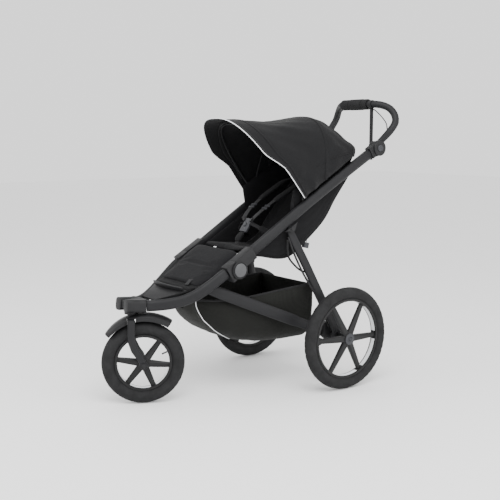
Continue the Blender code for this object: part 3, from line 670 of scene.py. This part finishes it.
def make_wrist_strap():
    """The flat strap that hangs from the grip, and its loop round the bar."""
    path = route(1, WRIST_STRAP, 6)
    strap = bar("wrist_strap_web", path, (0.020, 0.0026), ACROSS, "webbing", "handlebar", 12, 4.0)
    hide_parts("wrist_strap")
    centre = at(WRIST_STRAP[0][0], *GRIP_CENTRE)
    around = []
    for i in range(25):
        angle = 2 * math.pi * i / 24
        around.append(Vector((0, GRIP_LOOP_RADIUS * math.sin(angle), GRIP_LOOP_RADIUS * math.cos(angle))))
    loop = [centre + p for p in around]
    bar("wrist_strap_loop", loop, (0.017, 0.0024), around, "webbing", "handlebar", 10, 4.0)


make_camera()
make_wrist_strap()
make_studio()


# ---- hard parts

CAD_LOOK = {
    "frame": ["upper_tube", "lower_tube", "rear_leg", "chainstay", "handlebar", "fork", "rear_axle"],
    "plastic": ["head_housing", "hinge_base", "hinge_arm", "pivot_socket", "leg_bracket", "footrest",
                "swivel_lock", "front_axle", "brake_pedal", "pedal_bracket", "canopy_bow_front",
                "canopy_bow_middle", "front_fender", "front_valve"],
    "rim": ["front_rim", "rear_rim"],
    "medallion": ["hinge_cap"],
    "grey": ["tilt_button", "buckle", "buckle_button", "hub_button"],
    "foam": ["grip", "brake_grip"],
}
FINE_BEVEL = {"frame": 0.0006, "plastic": 0.0011, "rim": 0.0009, "medallion": 0.0006, "grey": 0.0008,
              "foam": 0.0008}


def dress_cad():
    """Gives each carried-over CAD node its material, smooth shading and softened edges."""
    looks = {}
    for look, names in CAD_LOOK.items():
        for name in names:
            for node in (name, name + "_left", name + "_right"):
                looks[node] = look
    for name, obj in NODES.items():
        look = looks.get(name)
        if look is None:
            continue
        obj.data.materials.clear()
        obj.data.materials.append(M[look])
        obj.data.shade_smooth()
        weld = obj.modifiers.new("weld", "WELD")
        weld.merge_threshold = 0.00002
        round_edges = obj.modifiers.new("edges", "BEVEL")
        round_edges.width = FINE_BEVEL[look]
        round_edges.segments = 2
        round_edges.limit_method = "ANGLE"
        round_edges.angle_limit = math.radians(44)
        round_edges.use_clamp_overlap = True
        round_edges.harden_normals = True


SECTION_SIDES = 28


def tread_depth(i, face, section):
    """How far the tyre's skin lies from its section's middle, at step i round the wheel.

    face is the angle round the section, in degrees from the middle of the tread.
    """
    if face < 62:
        shift = 2 if face > 22 else 0
        slot = (i + shift) % 4 == 0 and face > 8
        groove = 15 < face < 24 or 40 < face < 48
        return section - (0.0011 if slot else 0.0) - (0.0012 if groove else 0.0)
    if 84 < face < 96 or 118 < face < 130:
        return section + 0.0004
    return section


def tyre(name, node, body, centre, turn, radius, section, blocks):
    """A tyre with a low block tread, shoulder grooves and a raised bead line."""
    middle = radius - section
    mesh = bmesh.new()
    rings = []
    steps = blocks * 4
    for i in range(steps):
        out = outward(2 * math.pi * i / steps)
        ring = []
        for j in range(SECTION_SIDES):
            lean = 2 * math.pi * j / SECTION_SIDES
            face = math.degrees(min(lean, 2 * math.pi - lean))
            depth = tread_depth(i, face, section)
            across = Vector((depth * math.sin(lean), 0, 0))
            ring.append(centre + turn @ (across + out * (middle + depth * math.cos(lean))))
        rings.append(ring)
    ring_skin(mesh, rings, closed=True)
    made = from_mesh(name, mesh, M["tyre"], 50.0)
    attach(made, body)
    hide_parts(node)


SPOKES = 6
TAPE_HALF = 0.0088


def rim_tape(name, body, centre, turn, radius, section, phase):
    """Reflective strips on the rim's inner face, between the spokes."""
    well = radius - 2 * section - 0.0065
    corners = [(x, well - depth) for x, depth in ((-TAPE_HALF, 0.0003), (TAPE_HALF, 0.0003),
                                                  (TAPE_HALF, 0.0010), (-TAPE_HALF, 0.0010))]
    mesh = bmesh.new()
    for k in range(SPOKES):
        middle = phase + 2 * math.pi * (k + 0.5) / SPOKES
        rings = []
        for i in range(13):
            out = outward(middle + math.radians(-23.5 + 47 * i / 12))
            rings.append([centre + turn @ (Vector((x, 0, 0)) + out * r) for x, r in corners])
        ring_skin(mesh, rings)
    made = from_mesh(name, mesh, M["tape"])
    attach(made, body)


def make_wheels():
    """The tyres, and the reflective strips in the rims."""
    straight = Matrix.Identity(3)
    for name, side in SIDES:
        centre = at(side * REAR_TRACK, 0, REAR_RADIUS)
        spot = ("rear_wheel_" + name, centre, straight, REAR_RADIUS, REAR_SECTION)
        tyre("tyre_" + name, "rear_tyre_" + name, *spot, 44)
        rim_tape("rim_tape_" + name, *spot, math.radians(-2))
    steered = Matrix.Rotation(STEER_YAW, 3, "Z")
    centre = at(0, STEER_Y, FRONT_RADIUS) + steered @ Vector((0, STEER_TRAIL, 0))
    spot = ("front_wheel", centre, steered, FRONT_RADIUS, FRONT_SECTION)
    tyre("tyre_front", "front_tyre", *spot, 36)
    rim_tape("rim_tape_front", *spot, math.radians(-8))


# Profiles as (outward from the start, radius).
HINGE_RING = [(0, 0.0285), (0.0018, 0.0290), (0.0024, 0.0310), (0.0010, 0.0330), (0, 0.0330)]
BOLT_HEAD = [(0, 0.0), (0, 0.0068), (0.0018, 0.0068), (0.0026, 0.0052), (0.0026, 0.0)]


def side_profile(side, start, profile):
    """A turned profile that grows outward from x = start, on one side."""
    return [(side * start + side * x, r) for x, r in profile]


def make_fastenings():
    """The ring round each hinge cap and the bolt at the top of each rear leg."""
    for name, side in SIDES:
        ring = side_profile(side, 0.1957, HINGE_RING)
        turned("hinge_ring_" + name, ring, at(0, *HINGE), 48, "plastic", "upper_frame")
        head = side_profile(side, 0.1852, BOLT_HEAD)
        turned("leg_bolt_" + name, head, at(0, *LEG_TOP), 20, "plastic", "upper_frame")


# ---- canopy

# Each station is the arch's foot (y, z), its crown (y, z), its half width and its forward bulge.
CANOPY_STATIONS = [
    (-0.114, 0.752, -0.352, 1.057, 0.1960, 0.048),
    (-0.098, 0.760, -0.300, 1.055, 0.1940, 0.022),
    (-0.070, 0.777, -0.190, 1.049, 0.1925, 0.0),
    (-0.040, 0.795, -0.080, 1.058, 0.1915, 0.0),
    (0.000, 0.819, 0.020, 1.069, 0.1905, 0.0),
    (0.050, 0.849, 0.076, 1.054, 0.1890, 0.0),
    (0.100, 0.879, 0.130, 1.016, 0.1870, 0.0),
    (0.148, 0.909, 0.176, 0.976, 0.1850, 0.0),
]
FRONT_BOW, MIDDLE_BOW, REAR_HEM = 1.0, 4.0, 7.0
ARCH_STEPS = 56
ARCH = [math.pi * i / ARCH_STEPS for i in range(ARCH_STEPS + 1)]


def canopy_slack(t, angle):
    """How far the cloth hangs in between two bows, with its folds."""
    for low, high in ((0.9, MIDDLE_BOW), (MIDDLE_BOW, REAR_HEM)):
        if low < t < high:
            span = math.sin(math.pi * (t - low) / (high - low))
            folds = 0.0022 * math.sin(6.0 * angle + 1.9 * t) + 0.0016 * math.sin(11.0 * angle - 3.1 * t)
            folds += 0.0012 * math.sin(19.0 * angle + 4.3 * t)
            return span * (0.0020 * (0.5 - 0.5 * math.cos(2 * angle)) + folds)
    return 0.0


def canopy_point(t, angle, inset=0.0):
    """A place on the canopy: t from 0 at the front rim to 7 at the rear hem, angle over the arch."""
    foot_y, foot_z, crown_y, crown_z, half, bulge = between(CANOPY_STATIONS, t)
    c, s = math.cos(angle), math.sin(angle)
    power = 2.7
    side = math.copysign(abs(c) ** (2 / power), c)
    height = abs(s) ** (2 / power)
    slack = canopy_slack(t, angle)
    push = max(0.0, bulge) * ease_smooth(height, 0.36, 0.22)
    y = foot_y + (crown_y - foot_y) * height - push
    z = foot_z + (crown_z - foot_z) * height - (inset + slack) * height
    return at((half - inset - slack) * side, y, z)


def canopy_rows(low, high, count):
    return [[canopy_point(low + (high - low) * j / count, angle) for angle in ARCH] for j in range(count + 1)]


def canopy_normal(t, angle):
    """The way out of the canopy at a place."""
    ahead = canopy_point(min(REAR_HEM, t + 0.05), angle) - canopy_point(max(0.0, t - 0.05), angle)
    beside = canopy_point(t, min(math.pi, angle + 0.02)) - canopy_point(t, max(0.0, angle - 0.02))
    normal = ahead.cross(beside).normalized()
    x = canopy_point(t, angle).x
    inward = normal.x * x < 0 if abs(x) >= 0.15 else normal.z < 0
    return -normal if inward else normal


def canopy_seam(name, t, body, width, look, stitched=True):
    """A flat binding across the canopy at one station, with a row of stitches beside it."""
    normals = [canopy_normal(t, angle) for angle in ARCH]
    path = [canopy_point(t, angle) + normal * 0.0008 for angle, normal in zip(ARCH, normals)]
    bar(name, path, (width, 0.0018), normals, look, body, 8, 3.0)
    if stitched:
        beyond = min(REAR_HEM, t + 0.12)
        thread = [canopy_point(beyond, angle) + n * 0.0008 for angle, n in zip(ARCH, normals)]
        stitches(name + "_thread", thread, normals, body)


def canopy_sleeve(name, t, body):
    """The channel a bow runs in, inside the cloth."""
    path = [canopy_point(t, angle, 0.0062) for angle in ARCH[2:-2]]
    feet = canopy_point(t, 0) * 0.3 + canopy_point(t, math.pi) * 0.3
    middle = canopy_point(t, math.pi / 2) * 0.4 + feet
    bar(name, path, (0.021, 0.0085), [p - middle for p in path], "shell", body, 10, 2.2)


def canopy_band(part, name, side, low, high, body):
    """The raised band low on each side of the canopy."""
    angle = math.radians(90 - 79 * side)
    out = Vector((side, 0, 0.25))
    lift = out.normalized() * 0.0006
    path = [canopy_point(low + (high - low) * i / 30, angle) + lift for i in range(31)]
    return bar("canopy_band_%s_%s" % (part, name), path, (0.0050, 0.0024), [out] * 31, "shell", body, 8,
               2.2)


def make_canopy():
    """The two cloths over the bows, with their seams, sleeves and bands."""
    front = surface("canopy_front_cloth", canopy_rows(0.0, MIDDLE_BOW, 44), "shell", 0.0016, offset=-1.0)
    blend(front)
    rear = surface("canopy_rear_cloth", canopy_rows(MIDDLE_BOW, REAR_HEM, 30), "shell", 0.0016, offset=-1.0)
    blend(rear)
    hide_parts("canopy")
    for piece in (front, rear):
        lay_flat(piece)
    rim = [canopy_point(0.0, angle, -0.0016) for angle in ARCH]
    bar("canopy_piping", rim, (0.0032, 0.0032), Vector((0, 0.01, 1)), "tape", "canopy_front", 8, 2.0)
    canopy_seam("canopy_front_binding", 0.22, "canopy_front", 0.012, "binding", False)
    canopy_seam("canopy_bow_seam", FRONT_BOW, "canopy_front", 0.010, "shell")
    canopy_seam("canopy_middle_seam", MIDDLE_BOW, "canopy_middle", 0.012, "shell")
    canopy_seam("canopy_rear_hem", 6.95, "upper_frame", 0.012, "binding")
    canopy_sleeve("canopy_front_sleeve", FRONT_BOW, "canopy_front")
    canopy_sleeve("canopy_middle_sleeve", MIDDLE_BOW, "canopy_middle")
    for name, side in SIDES:
        canopy_band("front", name, side, 3.1, MIDDLE_BOW, "canopy_middle")
        band = canopy_band("rear", name, side, 4.05, 6.9, None)
        blend(band)


def curtain_point(v, angle):
    """A place from the canopy's rear hem (0) down to the top of the backrest (1)."""
    c, s = math.cos(angle), math.sin(angle)
    low = at(0.1440 * c, *up_back(0.374, -0.0150 + 0.010 * c**2))
    slack = Vector((0, 0.012 * math.sin(math.pi * v) * s, 0))
    return canopy_point(6.90, angle, 0.0004).lerp(low, v) + slack


def make_curtain():
    rows = [[curtain_point(j / 10, angle) for angle in ARCH] for j in range(11)]
    curtain = surface("seat_curtain", rows, "lining", 0.0016)
    blend(curtain)
    lay_flat(curtain)


# ---- seat


def up_back(distance, rise):
    """The (y, z) place a distance up the backrest from its pivot, and a rise square to it."""
    return up_slope(RECLINE_PIVOT, RECLINE, distance, rise)


# The side walls' lower edge as (y, z), from the calf panel to the top of the backrest.
WALL_LOW = [(-0.372, 0.5440), (-0.330, 0.5370), (-0.285, 0.5310), (-0.212, 0.5170), (-0.155, 0.5200),
            (-0.100, 0.5520), (0.020, 0.6480), (0.085, 0.7380), (0.150, 0.8200), (0.168, 0.8520)]


def wall_edge(count):
    return smooth_path([Vector((0, y, z)) for y, z in WALL_LOW[:count]], 6)


def wall_top(k):
    """A place on the wall's upper edge for k from 0 to 1: inside the tube, then up to the canopy."""
    lift = ease_smooth(k, 0.43, 0.045)
    drop = ease(k, 0.62, 0.30)
    return up_slope(HINGE, TUBE_SLOPE, 0.070 + 0.640 * k, 0.014 + (0.092 - 0.030 * drop) * lift)


def up_wall(low, k, v):
    """The (y, z) place on the wall at v, from its lower edge (0) to its upper (1)."""
    top_y, top_z = wall_top(k)
    return low.y + (top_y - low.y) * v, low.z + (top_z - low.z) * v


def wall_point(side, low, k, v):
    waves = 0.0030 + 0.0012 * math.sin(9 * k + 2 * v) + 0.0010 * math.sin(23 * k)
    bulge = math.sin(math.pi * v) * waves
    flare = 0.0105 + 0.014 * ease(k, 0.43, 0.05) * max(0.0, v - 0.75) * 4
    return at(side * (0.1465 + flare * v * v + bulge * (1 - v)), *up_wall(low, k, v))


def make_side_walls():
    """The cloth walls of the seat, each with a hem and a row of stitches."""
    low = wall_edge(None)
    spots = [(p, i / (len(low) - 1)) for i, p in enumerate(low)]
    for name, side in SIDES:
        rows = [[wall_point(side, p, k, j / 8) for p, k in spots] for j in range(9)]
        wall = surface("seat_wall_" + name, rows, "seat", 0.0020)
        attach(wall, "upper_frame")
        if side > 0:
            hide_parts("seat_shell")
        lay_flat(wall)
        edge = [at(side * 0.1470, p.y, p.z) for p in low]
        bar("seat_wall_hem_" + name, edge, (0.0050, 0.0050), ACROSS, "binding", "upper_frame", 8, 2.2)
        line = [at(side * 0.1486, *up_wall(p, k, 0.09)) for p, k in spots]
        stitches("seat_wall_thread_" + name, line, [Vector((side, 0, 0))] * len(line), "upper_frame")


def sling_rows():
    rows = []
    for p in wall_edge(6):
        sag = 0.004 * math.sin(math.pi * ease(p.y, -0.372, 0.27))
        rows.append([at(0.1462 * u, p.y, p.z - sag * (1 - u * u) + 0.001) for u in spread(24)])
    return rows


def cover_point(u, v):
    """A place on the panel behind the backrest."""
    depth = -0.0125 - 0.020 * (1 - u**4) * math.sin(math.pi * min(1.0, v * 1.08)) ** 0.7
    return at(0.1440 * u, *up_back(0.010 + 0.372 * v, depth))


def fold_point(u, v):
    """A place on the cloth from the sling (0) up to the backrest (1)."""
    low, high = Vector((0, -0.1950, 0.5390)), Vector((0, *up_back(0.060, -0.0040)))
    p = low.lerp(high, v) + Vector((0, 0, -0.016 * math.sin(math.pi * v) ** 0.8))
    return at(0.1445 * u, p.y, p.z)


def make_seat_cloths():
    """The cloth sling under the seat pad, the panel behind the backrest and the fold between."""
    sling = surface("seat_sling", sling_rows(), "seat", 0.0022, offset=1.0)
    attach(sling, "upper_frame")
    rows = [[cover_point(u, j / 24) for u in spread(24)] for j in range(25)]
    back = surface("seat_back_cover", rows, "lining", 0.0018, offset=1.0)
    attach(back, "backrest")
    rows = [[fold_point(u, j / 12) for u in spread(24)] for j in range(13)]
    fold = surface("seat_back_fold", rows, "seat", 0.0020)
    blend(fold)
    lay_flat(fold)


def near_any(value, lines, reach=0.0030):
    return min(abs(value - line) for line in lines) < reach


def make_seat_cushion():
    """The quilted seat pad."""
    normal = Vector((0, 0.10, 0.995)).normalized()

    def spot(u, v):
        z = 0.5560 - 0.0300 * v + 0.012 * v * v
        return at(0.1435 * u, -0.371 + 0.205 * v, z + 0.006 * abs(u) ** 3), normal

    def on_seam(p):
        y = p.y - AXLE_Y
        quilt = near_any(y, (-0.318, -0.262, -0.208))
        middle = abs(p.x) < 0.010 and abs(y + 0.300) < 0.014
        return (quilt and p.z > 0.548) or middle

    pad = pillow("seat_cushion", spot, 40, 28, 0.0125, "seat", 0.10, 0.30)
    puff(pad, on_seam, 4.0, 14, 0.007)
    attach(pad, "upper_frame")
    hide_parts("seat_pad")


def make_backrest_pad():
    """The ribbed backrest pad with its head bolster."""
    normal = Vector((0, -math.sin(RECLINE), math.cos(RECLINE)))

    def spot(u, v):
        narrow = 1.0 - 0.10 * max(0.0, v - 0.75) / 0.25
        bolster = 0.010 * abs(u) ** 3
        return at(0.1430 * u * narrow, *up_back(0.006 + 0.360 * v, 0.001 + bolster)), normal

    def on_seam(p):
        local = p - at(0, *RECLINE_PIVOT)
        distance = local.y * math.cos(RECLINE) + local.z * math.sin(RECLINE)
        ribs = near_any(distance, (0.070, 0.125, 0.180, 0.235)) and abs(p.x) < 0.082
        sides = near_any(abs(p.x), (0.084,)) and distance < 0.300
        head = near_any(distance, (0.300,))
        return local.dot(normal) > 0.004 and (ribs or sides or head)

    pad = pillow("backrest_pad", spot, 40, 50, 0.0130, "seat", 0.14, 0.75)
    puff(pad, on_seam, 4.0, 14, 0.007)
    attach(pad, "backrest")
    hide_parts("backrest")


# ---- harness

SHOULDER = [(0.0300, -0.2440, 0.6640), (0.041, -0.208, 0.6960), (0.049, -0.150, 0.7340),
            (0.055, -0.080, 0.7720), (0.058, -0.010, 0.8060), (0.056, 0.062, 0.8160)]
LAP = [(0.026, -0.2500, 0.6480), (0.062, -0.226, 0.6280), (0.100, -0.190, 0.6000), (0.128, -0.160, 0.5740)]
CROTCH = [(0, -0.300, 0.5665), (0, -0.290, 0.590), (0, -0.2722, 0.6100)]
TONGUE = [(0.018, -0.2430, 0.6570), (0.029, -0.2420, 0.6650)]
SHOULDER_UP, LAP_UP, CROTCH_UP = Vector((0, -0.6, 0.8)), Vector((0, -0.35, 0.94)), Vector((0, -0.8, 0.6))


def with_backrest(piece):
    """Bakes the piece's placement into its own mesh, as blend does."""
    blend(piece)


def strap_pad(name, path, size, up):
    """A crowned pad round a strap."""
    mesh = bmesh.new()
    swept(mesh, path, *size, up, 20, 2.6, lambda t: 1 - 0.35 * abs(2 * t - 1) ** 5)
    made = from_mesh(name, mesh, M["seat"], 80.0)
    smoothed(made)
    return made


def make_shoulder_strap(name, side):
    """A shoulder strap with its pad and two adjusters."""
    path = route(side, SHOULDER, 8)
    strap = bar("shoulder_web_" + name, path, (0.024, 0.0020), SHOULDER_UP, "webbing", None, 12, 4.0)
    with_backrest(strap)
    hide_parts("shoulder_strap_" + name)
    with_backrest(strap_pad("shoulder_pad_" + name, path[16:36], (0.040, 0.0110), SHOULDER_UP))
    way = (path[13] - path[9]).normalized() * 0.0035
    for k, spot in enumerate((path[10], path[12])):
        clip = bar("adjuster_%s_%d" % (name, k), [spot - way, spot + way], (0.034, 0.0062), SHOULDER_UP,
                   "grey", None, 12, 3.6)
        with_backrest(clip)


def make_harness():
    """Shoulder straps, lap straps, the buckle's tongues and the crotch strap."""
    for name, side in SIDES:
        make_shoulder_strap(name, side)
        lap = route(side, LAP, 6)
        bar("lap_web_" + name, lap, (0.024, 0.0024), LAP_UP, "webbing", "upper_frame", 12, 4.0)
        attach(strap_pad("lap_pad_" + name, lap[5:14], (0.040, 0.0110), LAP_UP), "upper_frame")
        bar("buckle_tongue_" + name, mirrored(side, TONGUE), (0.020, 0.008), SHOULDER_UP, "plastic",
            "upper_frame", 10, 3.4)
    crotch = route(1, CROTCH, 6)
    low = bar("crotch_web", crotch, (0.024, 0.0024), CROTCH_UP, "webbing", "upper_frame", 12, 4.0)
    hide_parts("crotch_strap")
    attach(strap_pad("crotch_pad", crotch[2:], (0.036, 0.0120), CROTCH_UP), "upper_frame")


# ---- calf panel and footrest

# The lower tubes' middle line, as (half width, y).
LOWER_TUBE = [(0.172, -0.4668), (0.169, -0.492), (0.160, -0.530), (0.146, -0.572), (0.120, -0.620),
              (0.088, -0.665), (0.060, -0.703), (0.044, -0.734)]
PANEL_LINE = [(-0.386, 0.560), (-0.420, 0.5415), (-0.455, 0.5190), (-0.520, 0.4730), (-0.576, 0.4405)]


def lower_half(y):
    """Half the distance between the lower tubes."""
    for (x1, y1), (x2, y2) in zip(LOWER_TUBE, LOWER_TUBE[1:]):
        if y1 >= y >= y2:
            return x1 + (x2 - x1) * (y1 - y) / (y1 - y2)
    return LOWER_TUBE[0][0] if y > LOWER_TUBE[0][1] else LOWER_TUBE[-1][0]


def panel_place(v):
    """The (y, z) place on the calf panel, from the seat's edge (0) to the footrest (1)."""
    position = v * (len(PANEL_LINE) - 1)
    i = min(int(position), len(PANEL_LINE) - 2)
    (y1, z1), (y2, z2) = PANEL_LINE[i : i + 2]
    return (y1 + (y2 - y1) * (position - i), z1 + (z2 - z1) * (position - i))


def panel_half(y):
    return min(0.1505, lower_half(y) - 0.0138)


def make_calf_panel():
    """The padded calf panel, sewn across at the fold, with a binding on each edge."""
    normal = Vector((0, -0.60, 0.80))

    def spot(u, v):
        y, z = panel_place(v)
        return at(panel_half(y) * u, y, z - 0.002 - 0.012 * abs(u) ** 10), normal

    def on_seam(p):
        return abs(p.y - AXLE_Y + 0.4860) < 0.0035

    pad = pillow("calf_pad", spot, 40, 30, 0.0060, "panel", 0.06, 0.9)
    puff(pad, on_seam, 3.0, 10, 0.004)
    blend(pad)
    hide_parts("leg_panel")
    for name, side in SIDES:
        line = [panel_place(j / 24) for j in range(5, 25)]
        edge = [at(side * panel_half(y), y, z - 0.010) for y, z in line]
        bar("calf_binding_" + name, edge, (0.0060, 0.0060), ACROSS, "binding", "front_frame")


# ---- basket

# Each station is y, the half width, the rim's height and the floor's height.
BASKET_STATIONS = [
    (-0.566, 0.040, 0.3820, 0.3400),
    (-0.545, 0.075, 0.3780, 0.3050),
    (-0.505, 0.100, 0.3740, 0.2680),
    (-0.440, 0.128, 0.3720, 0.2300),
    (-0.360, 0.146, 0.3760, 0.1980),
    (-0.270, 0.160, 0.3860, 0.1800),
    (-0.170, 0.168, 0.3960, 0.1720),
    (-0.050, 0.172, 0.4040, 0.1720),
]
BASKET_TURNS = [math.pi * i / 48 for i in range(49)]


def basket_point(t, angle, inset=0.0):
    """A place on the basket at station t (0 to 7) and an angle from its left rim to its right."""
    y, half, top, bottom = between(BASKET_STATIONS, t)
    c, s = math.cos(angle), math.sin(angle)
    side = math.copysign(abs(c) ** 0.55, c)
    drop = abs(s) ** 0.55
    crease = 0.0022 * math.sin(5.0 * t + 3.0 * angle) + 0.0016 * math.sin(11.0 * t - 5.0 * angle)
    crease *= math.sin(math.pi * min(1.0, t / 7.0)) * drop
    z = top - (top - bottom - inset) * drop + crease * 0.5
    return at((half - inset - abs(crease)) * side, y, z)


def basket_split(angle):
    """The station where the net nose meets the cloth body, at an angle round the basket."""
    return 1.05 + 3.2 * (min(angle, math.pi - angle) / (math.pi / 2)) ** 1.5


def nose_point(v, angle):
    return basket_point(basket_split(angle) * v, angle)


def body_point(v, angle):
    split = basket_split(angle)
    return basket_point(split + (7 - split) * v, angle)


def back_point(v, angle):
    """A place on the basket's rear wall, from its top edge (0) down to the floor (1)."""
    edge = basket_point(7.0, angle)
    slack = 0.006 * math.sin(math.pi * v) * math.sin(angle)
    top = BASKET_STATIONS[-1][2]
    return Vector((edge.x, edge.y + slack, top + (edge.z - top) * v))


def make_basket():
    """The net nose, the cloth body and back, the rims and the reflective piping."""
    pieces = []
    for name, spot, down, look, thickness, offset in (
        ("basket_nose", nose_point, 20, "net", 0.0016, 1.0),
        ("basket_body", body_point, 40, "basket", 0.0018, 1.0),
        ("basket_back", back_point, 12, "basket", 0.0018, 0.0),
    ):
        rows = [[spot(j / down, angle) for angle in BASKET_TURNS] for j in range(down + 1)]
        pieces.append(surface(name, rows, look, thickness, offset))
        lay_flat(pieces[-1])
    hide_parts("basket")
    rim = [basket_point(7 * j / 60, 0.0) for j in range(61)]
    for name, side in SIDES:
        edge = [Vector((side * p.x, p.y, p.z)) for p in rim]
        pieces.append(bar("basket_rim_" + name, edge, (0.0100, 0.0048), ACROSS, "binding", None, 8, 2.6))
    line = [basket_point(basket_split(a), a, -0.0024) for a in BASKET_TURNS]
    pieces.append(bar("basket_piping", line, (0.0030, 0.0030), Vector((0, 1, 0.3)), "tape", None, 8, 2.0))
    for piece in pieces:
        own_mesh(piece)
        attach(piece, "rear_frame")


# ---- cables and small parts

CABLE = [(0.0740, 0.3360, 1.1085), (0.1000, 0.3400, 1.1020), (0.1200, 0.3430, 1.0890),
         (0.1430, 0.3480, 1.0680), (0.1630, 0.3520, 1.0430), (0.1750, 0.3470, 1.0150)]
FOLD_STRAP = [(0.1790, -0.184, 0.590), (0.1800, -0.180, 0.528), (0.1840, -0.150, 0.488),
              (0.1880, -0.117, 0.463), (0.1930, -0.092, 0.460)]
BRAKE_LINE = [(0.1700, -0.172, 0.600), (0.1820, -0.150, 0.530), (0.2000, -0.118, 0.452),
              (0.2250, -0.078, 0.370), (0.2420, -0.046, 0.290), (0.2400, -0.020, 0.235)]
AXLE_COVER = [(0.2270, -0.046, 0.226), (0.2270, -0.030, 0.224), (0.2270, -0.004, 0.216),
              (0.2270, 0.016, 0.206), (0.2270, 0.028, 0.200)]
LATCH_KNOB = [(-0.0085, 0.0), (-0.0085, 0.0072), (-0.0065, 0.0088), (0.0065, 0.0088), (0.0085, 0.0072),
              (0.0085, 0.0)]
HUB_COVER = [(0.0262, 0.0225), (0.0262, 0.0165), (0.0285, 0.0105), (0.0272, 0.0080), (0.0240, 0.0080),
             (0.0240, 0.0225)]
RECLINE_PULL = [(0.1330, -0.0400, 0.6010), (0.1265, -0.0420, 0.5850), (0.1250, -0.0450, 0.5640)]
RECLINE_TOGGLE = [(0.1250, -0.0455, 0.5660), (0.1250, -0.0480, 0.5560), (0.1250, -0.0510, 0.5440)]
CALF_TAB = [(0.070, -0.540, 0.4665), (0.074, -0.562, 0.4560), (0.077, -0.582, 0.4400)]


def make_cables():
    for name, side in SIDES:
        path = route(side, CABLE, 10)
        cable = bar("cable_" + name, path, (0.0046, 0.0046), Vector((0, 1, 0.05)), "plastic", "handlebar",
                    10, 2.0)
        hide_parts("brake_cable_" + name)


def make_leg_parts():
    """The fold straps, the brake lines, the covers of axle and hubs, and the latch knobs."""
    for name, side in SIDES:
        loop = route(side, FOLD_STRAP, 8)
        strap = bar("fold_strap_" + name, loop, (0.0090, 0.0072), Vector((0, 0.5, 0.8)), "binding", None,
                    12, 2.6)
        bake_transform(strap)
        line = route(side, BRAKE_LINE, 8)
        bar("brake_line_" + name, line, (0.0085, 0.0070), ACROSS, "plastic", "rear_legs", 10, 2.0)
        bar("axle_cover_" + name, mirrored(side, AXLE_COVER), (0.0290, 0.0720), Vector((0, 0.3, 1)),
            "plastic", "rear_frame", 14, 3.2, lambda t: 1 - 0.25 * abs(2 * t - 1) ** 3)
        knob_at = at(side * 0.1640, -0.3430, 0.5215)
        turned("latch_knob_" + name, LATCH_KNOB, knob_at, 20, "plastic", "upper_frame")
        hub_at = at(side * REAR_TRACK, 0, REAR_RADIUS)
        hub = side_profile(side, 0.0, HUB_COVER)
        turned("hub_cover_" + name, hub, hub_at, 32, "grey", "rear_wheel_" + name)


def make_recline_pull():
    """The cord behind the seat that frees the backrest, with its toggle."""
    pull = route(1, RECLINE_PULL, 8)
    cord = bar("recline_pull", pull, (0.0030, 0.0030), ACROSS, "webbing", "backrest", 10, 2.0)
    toggle = bar("recline_toggle", mirrored(1, RECLINE_TOGGLE), (0.0180, 0.0300), Vector((0, 1, -0.2)),
                 "grey", "backrest", 14, 2.8)


def make_footrest_trim():
    """The footrest's front lip and the cloth apron between it and the calf panel."""
    half = lower_half(-0.612) - 0.0170
    across = (-1, -0.85, -0.6, -0.3, 0, 0.3, 0.6, 0.85, 1)
    lip = [at(half * u, -0.6150 - 0.012 * (1 - u * u), 0.4290) for u in across]
    bar("footrest_lip", lip, (0.0085, 0.0240), Vector((0, -0.55, 0.83)), "plastic", "front_frame", 10, 2.4,
        lambda t: 1 - 0.3 * abs(2 * t - 1) ** 8)
    rows = []
    for y, z in ((-0.560, 0.4440), (-0.576, 0.4360), (-0.590, 0.4345), (-0.604, 0.4290)):
        half = lower_half(y) - 0.0140
        rows.append([at(half * u, y, z - 0.004 * abs(u) ** 6) for u in spread(20)])
    apron = surface("calf_apron", rows, "lining", 0.0018)
    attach(apron, "front_frame")
    lay_flat(apron)


def make_tabs():
    """The plain pale tag and the webbing tab on the calf panel."""
    tag = [at(0.0080 * u - 0.004, -0.4000 + 0.0012 * u, 0.5610) for u in spread(4)]
    bar("plain_tag", tag, (0.0046, 0.0010), Vector((0, -0.48, 0.88)), "tape", "front_frame", 8, 4.0)
    bar("calf_tab", mirrored(1, CALF_TAB), (0.022, 0.0022), Vector((0, -0.6, 0.8)), "webbing",
        "front_frame", 10, 4.0)


dress_cad()
make_leg_parts()
make_recline_pull()
make_footrest_trim()
make_tabs()
make_wheels()
make_fastenings()
make_canopy()
make_curtain()
make_side_walls()
make_seat_cloths()
make_seat_cushion()
make_backrest_pad()
make_harness()
make_calf_panel()
make_basket()
make_cables()
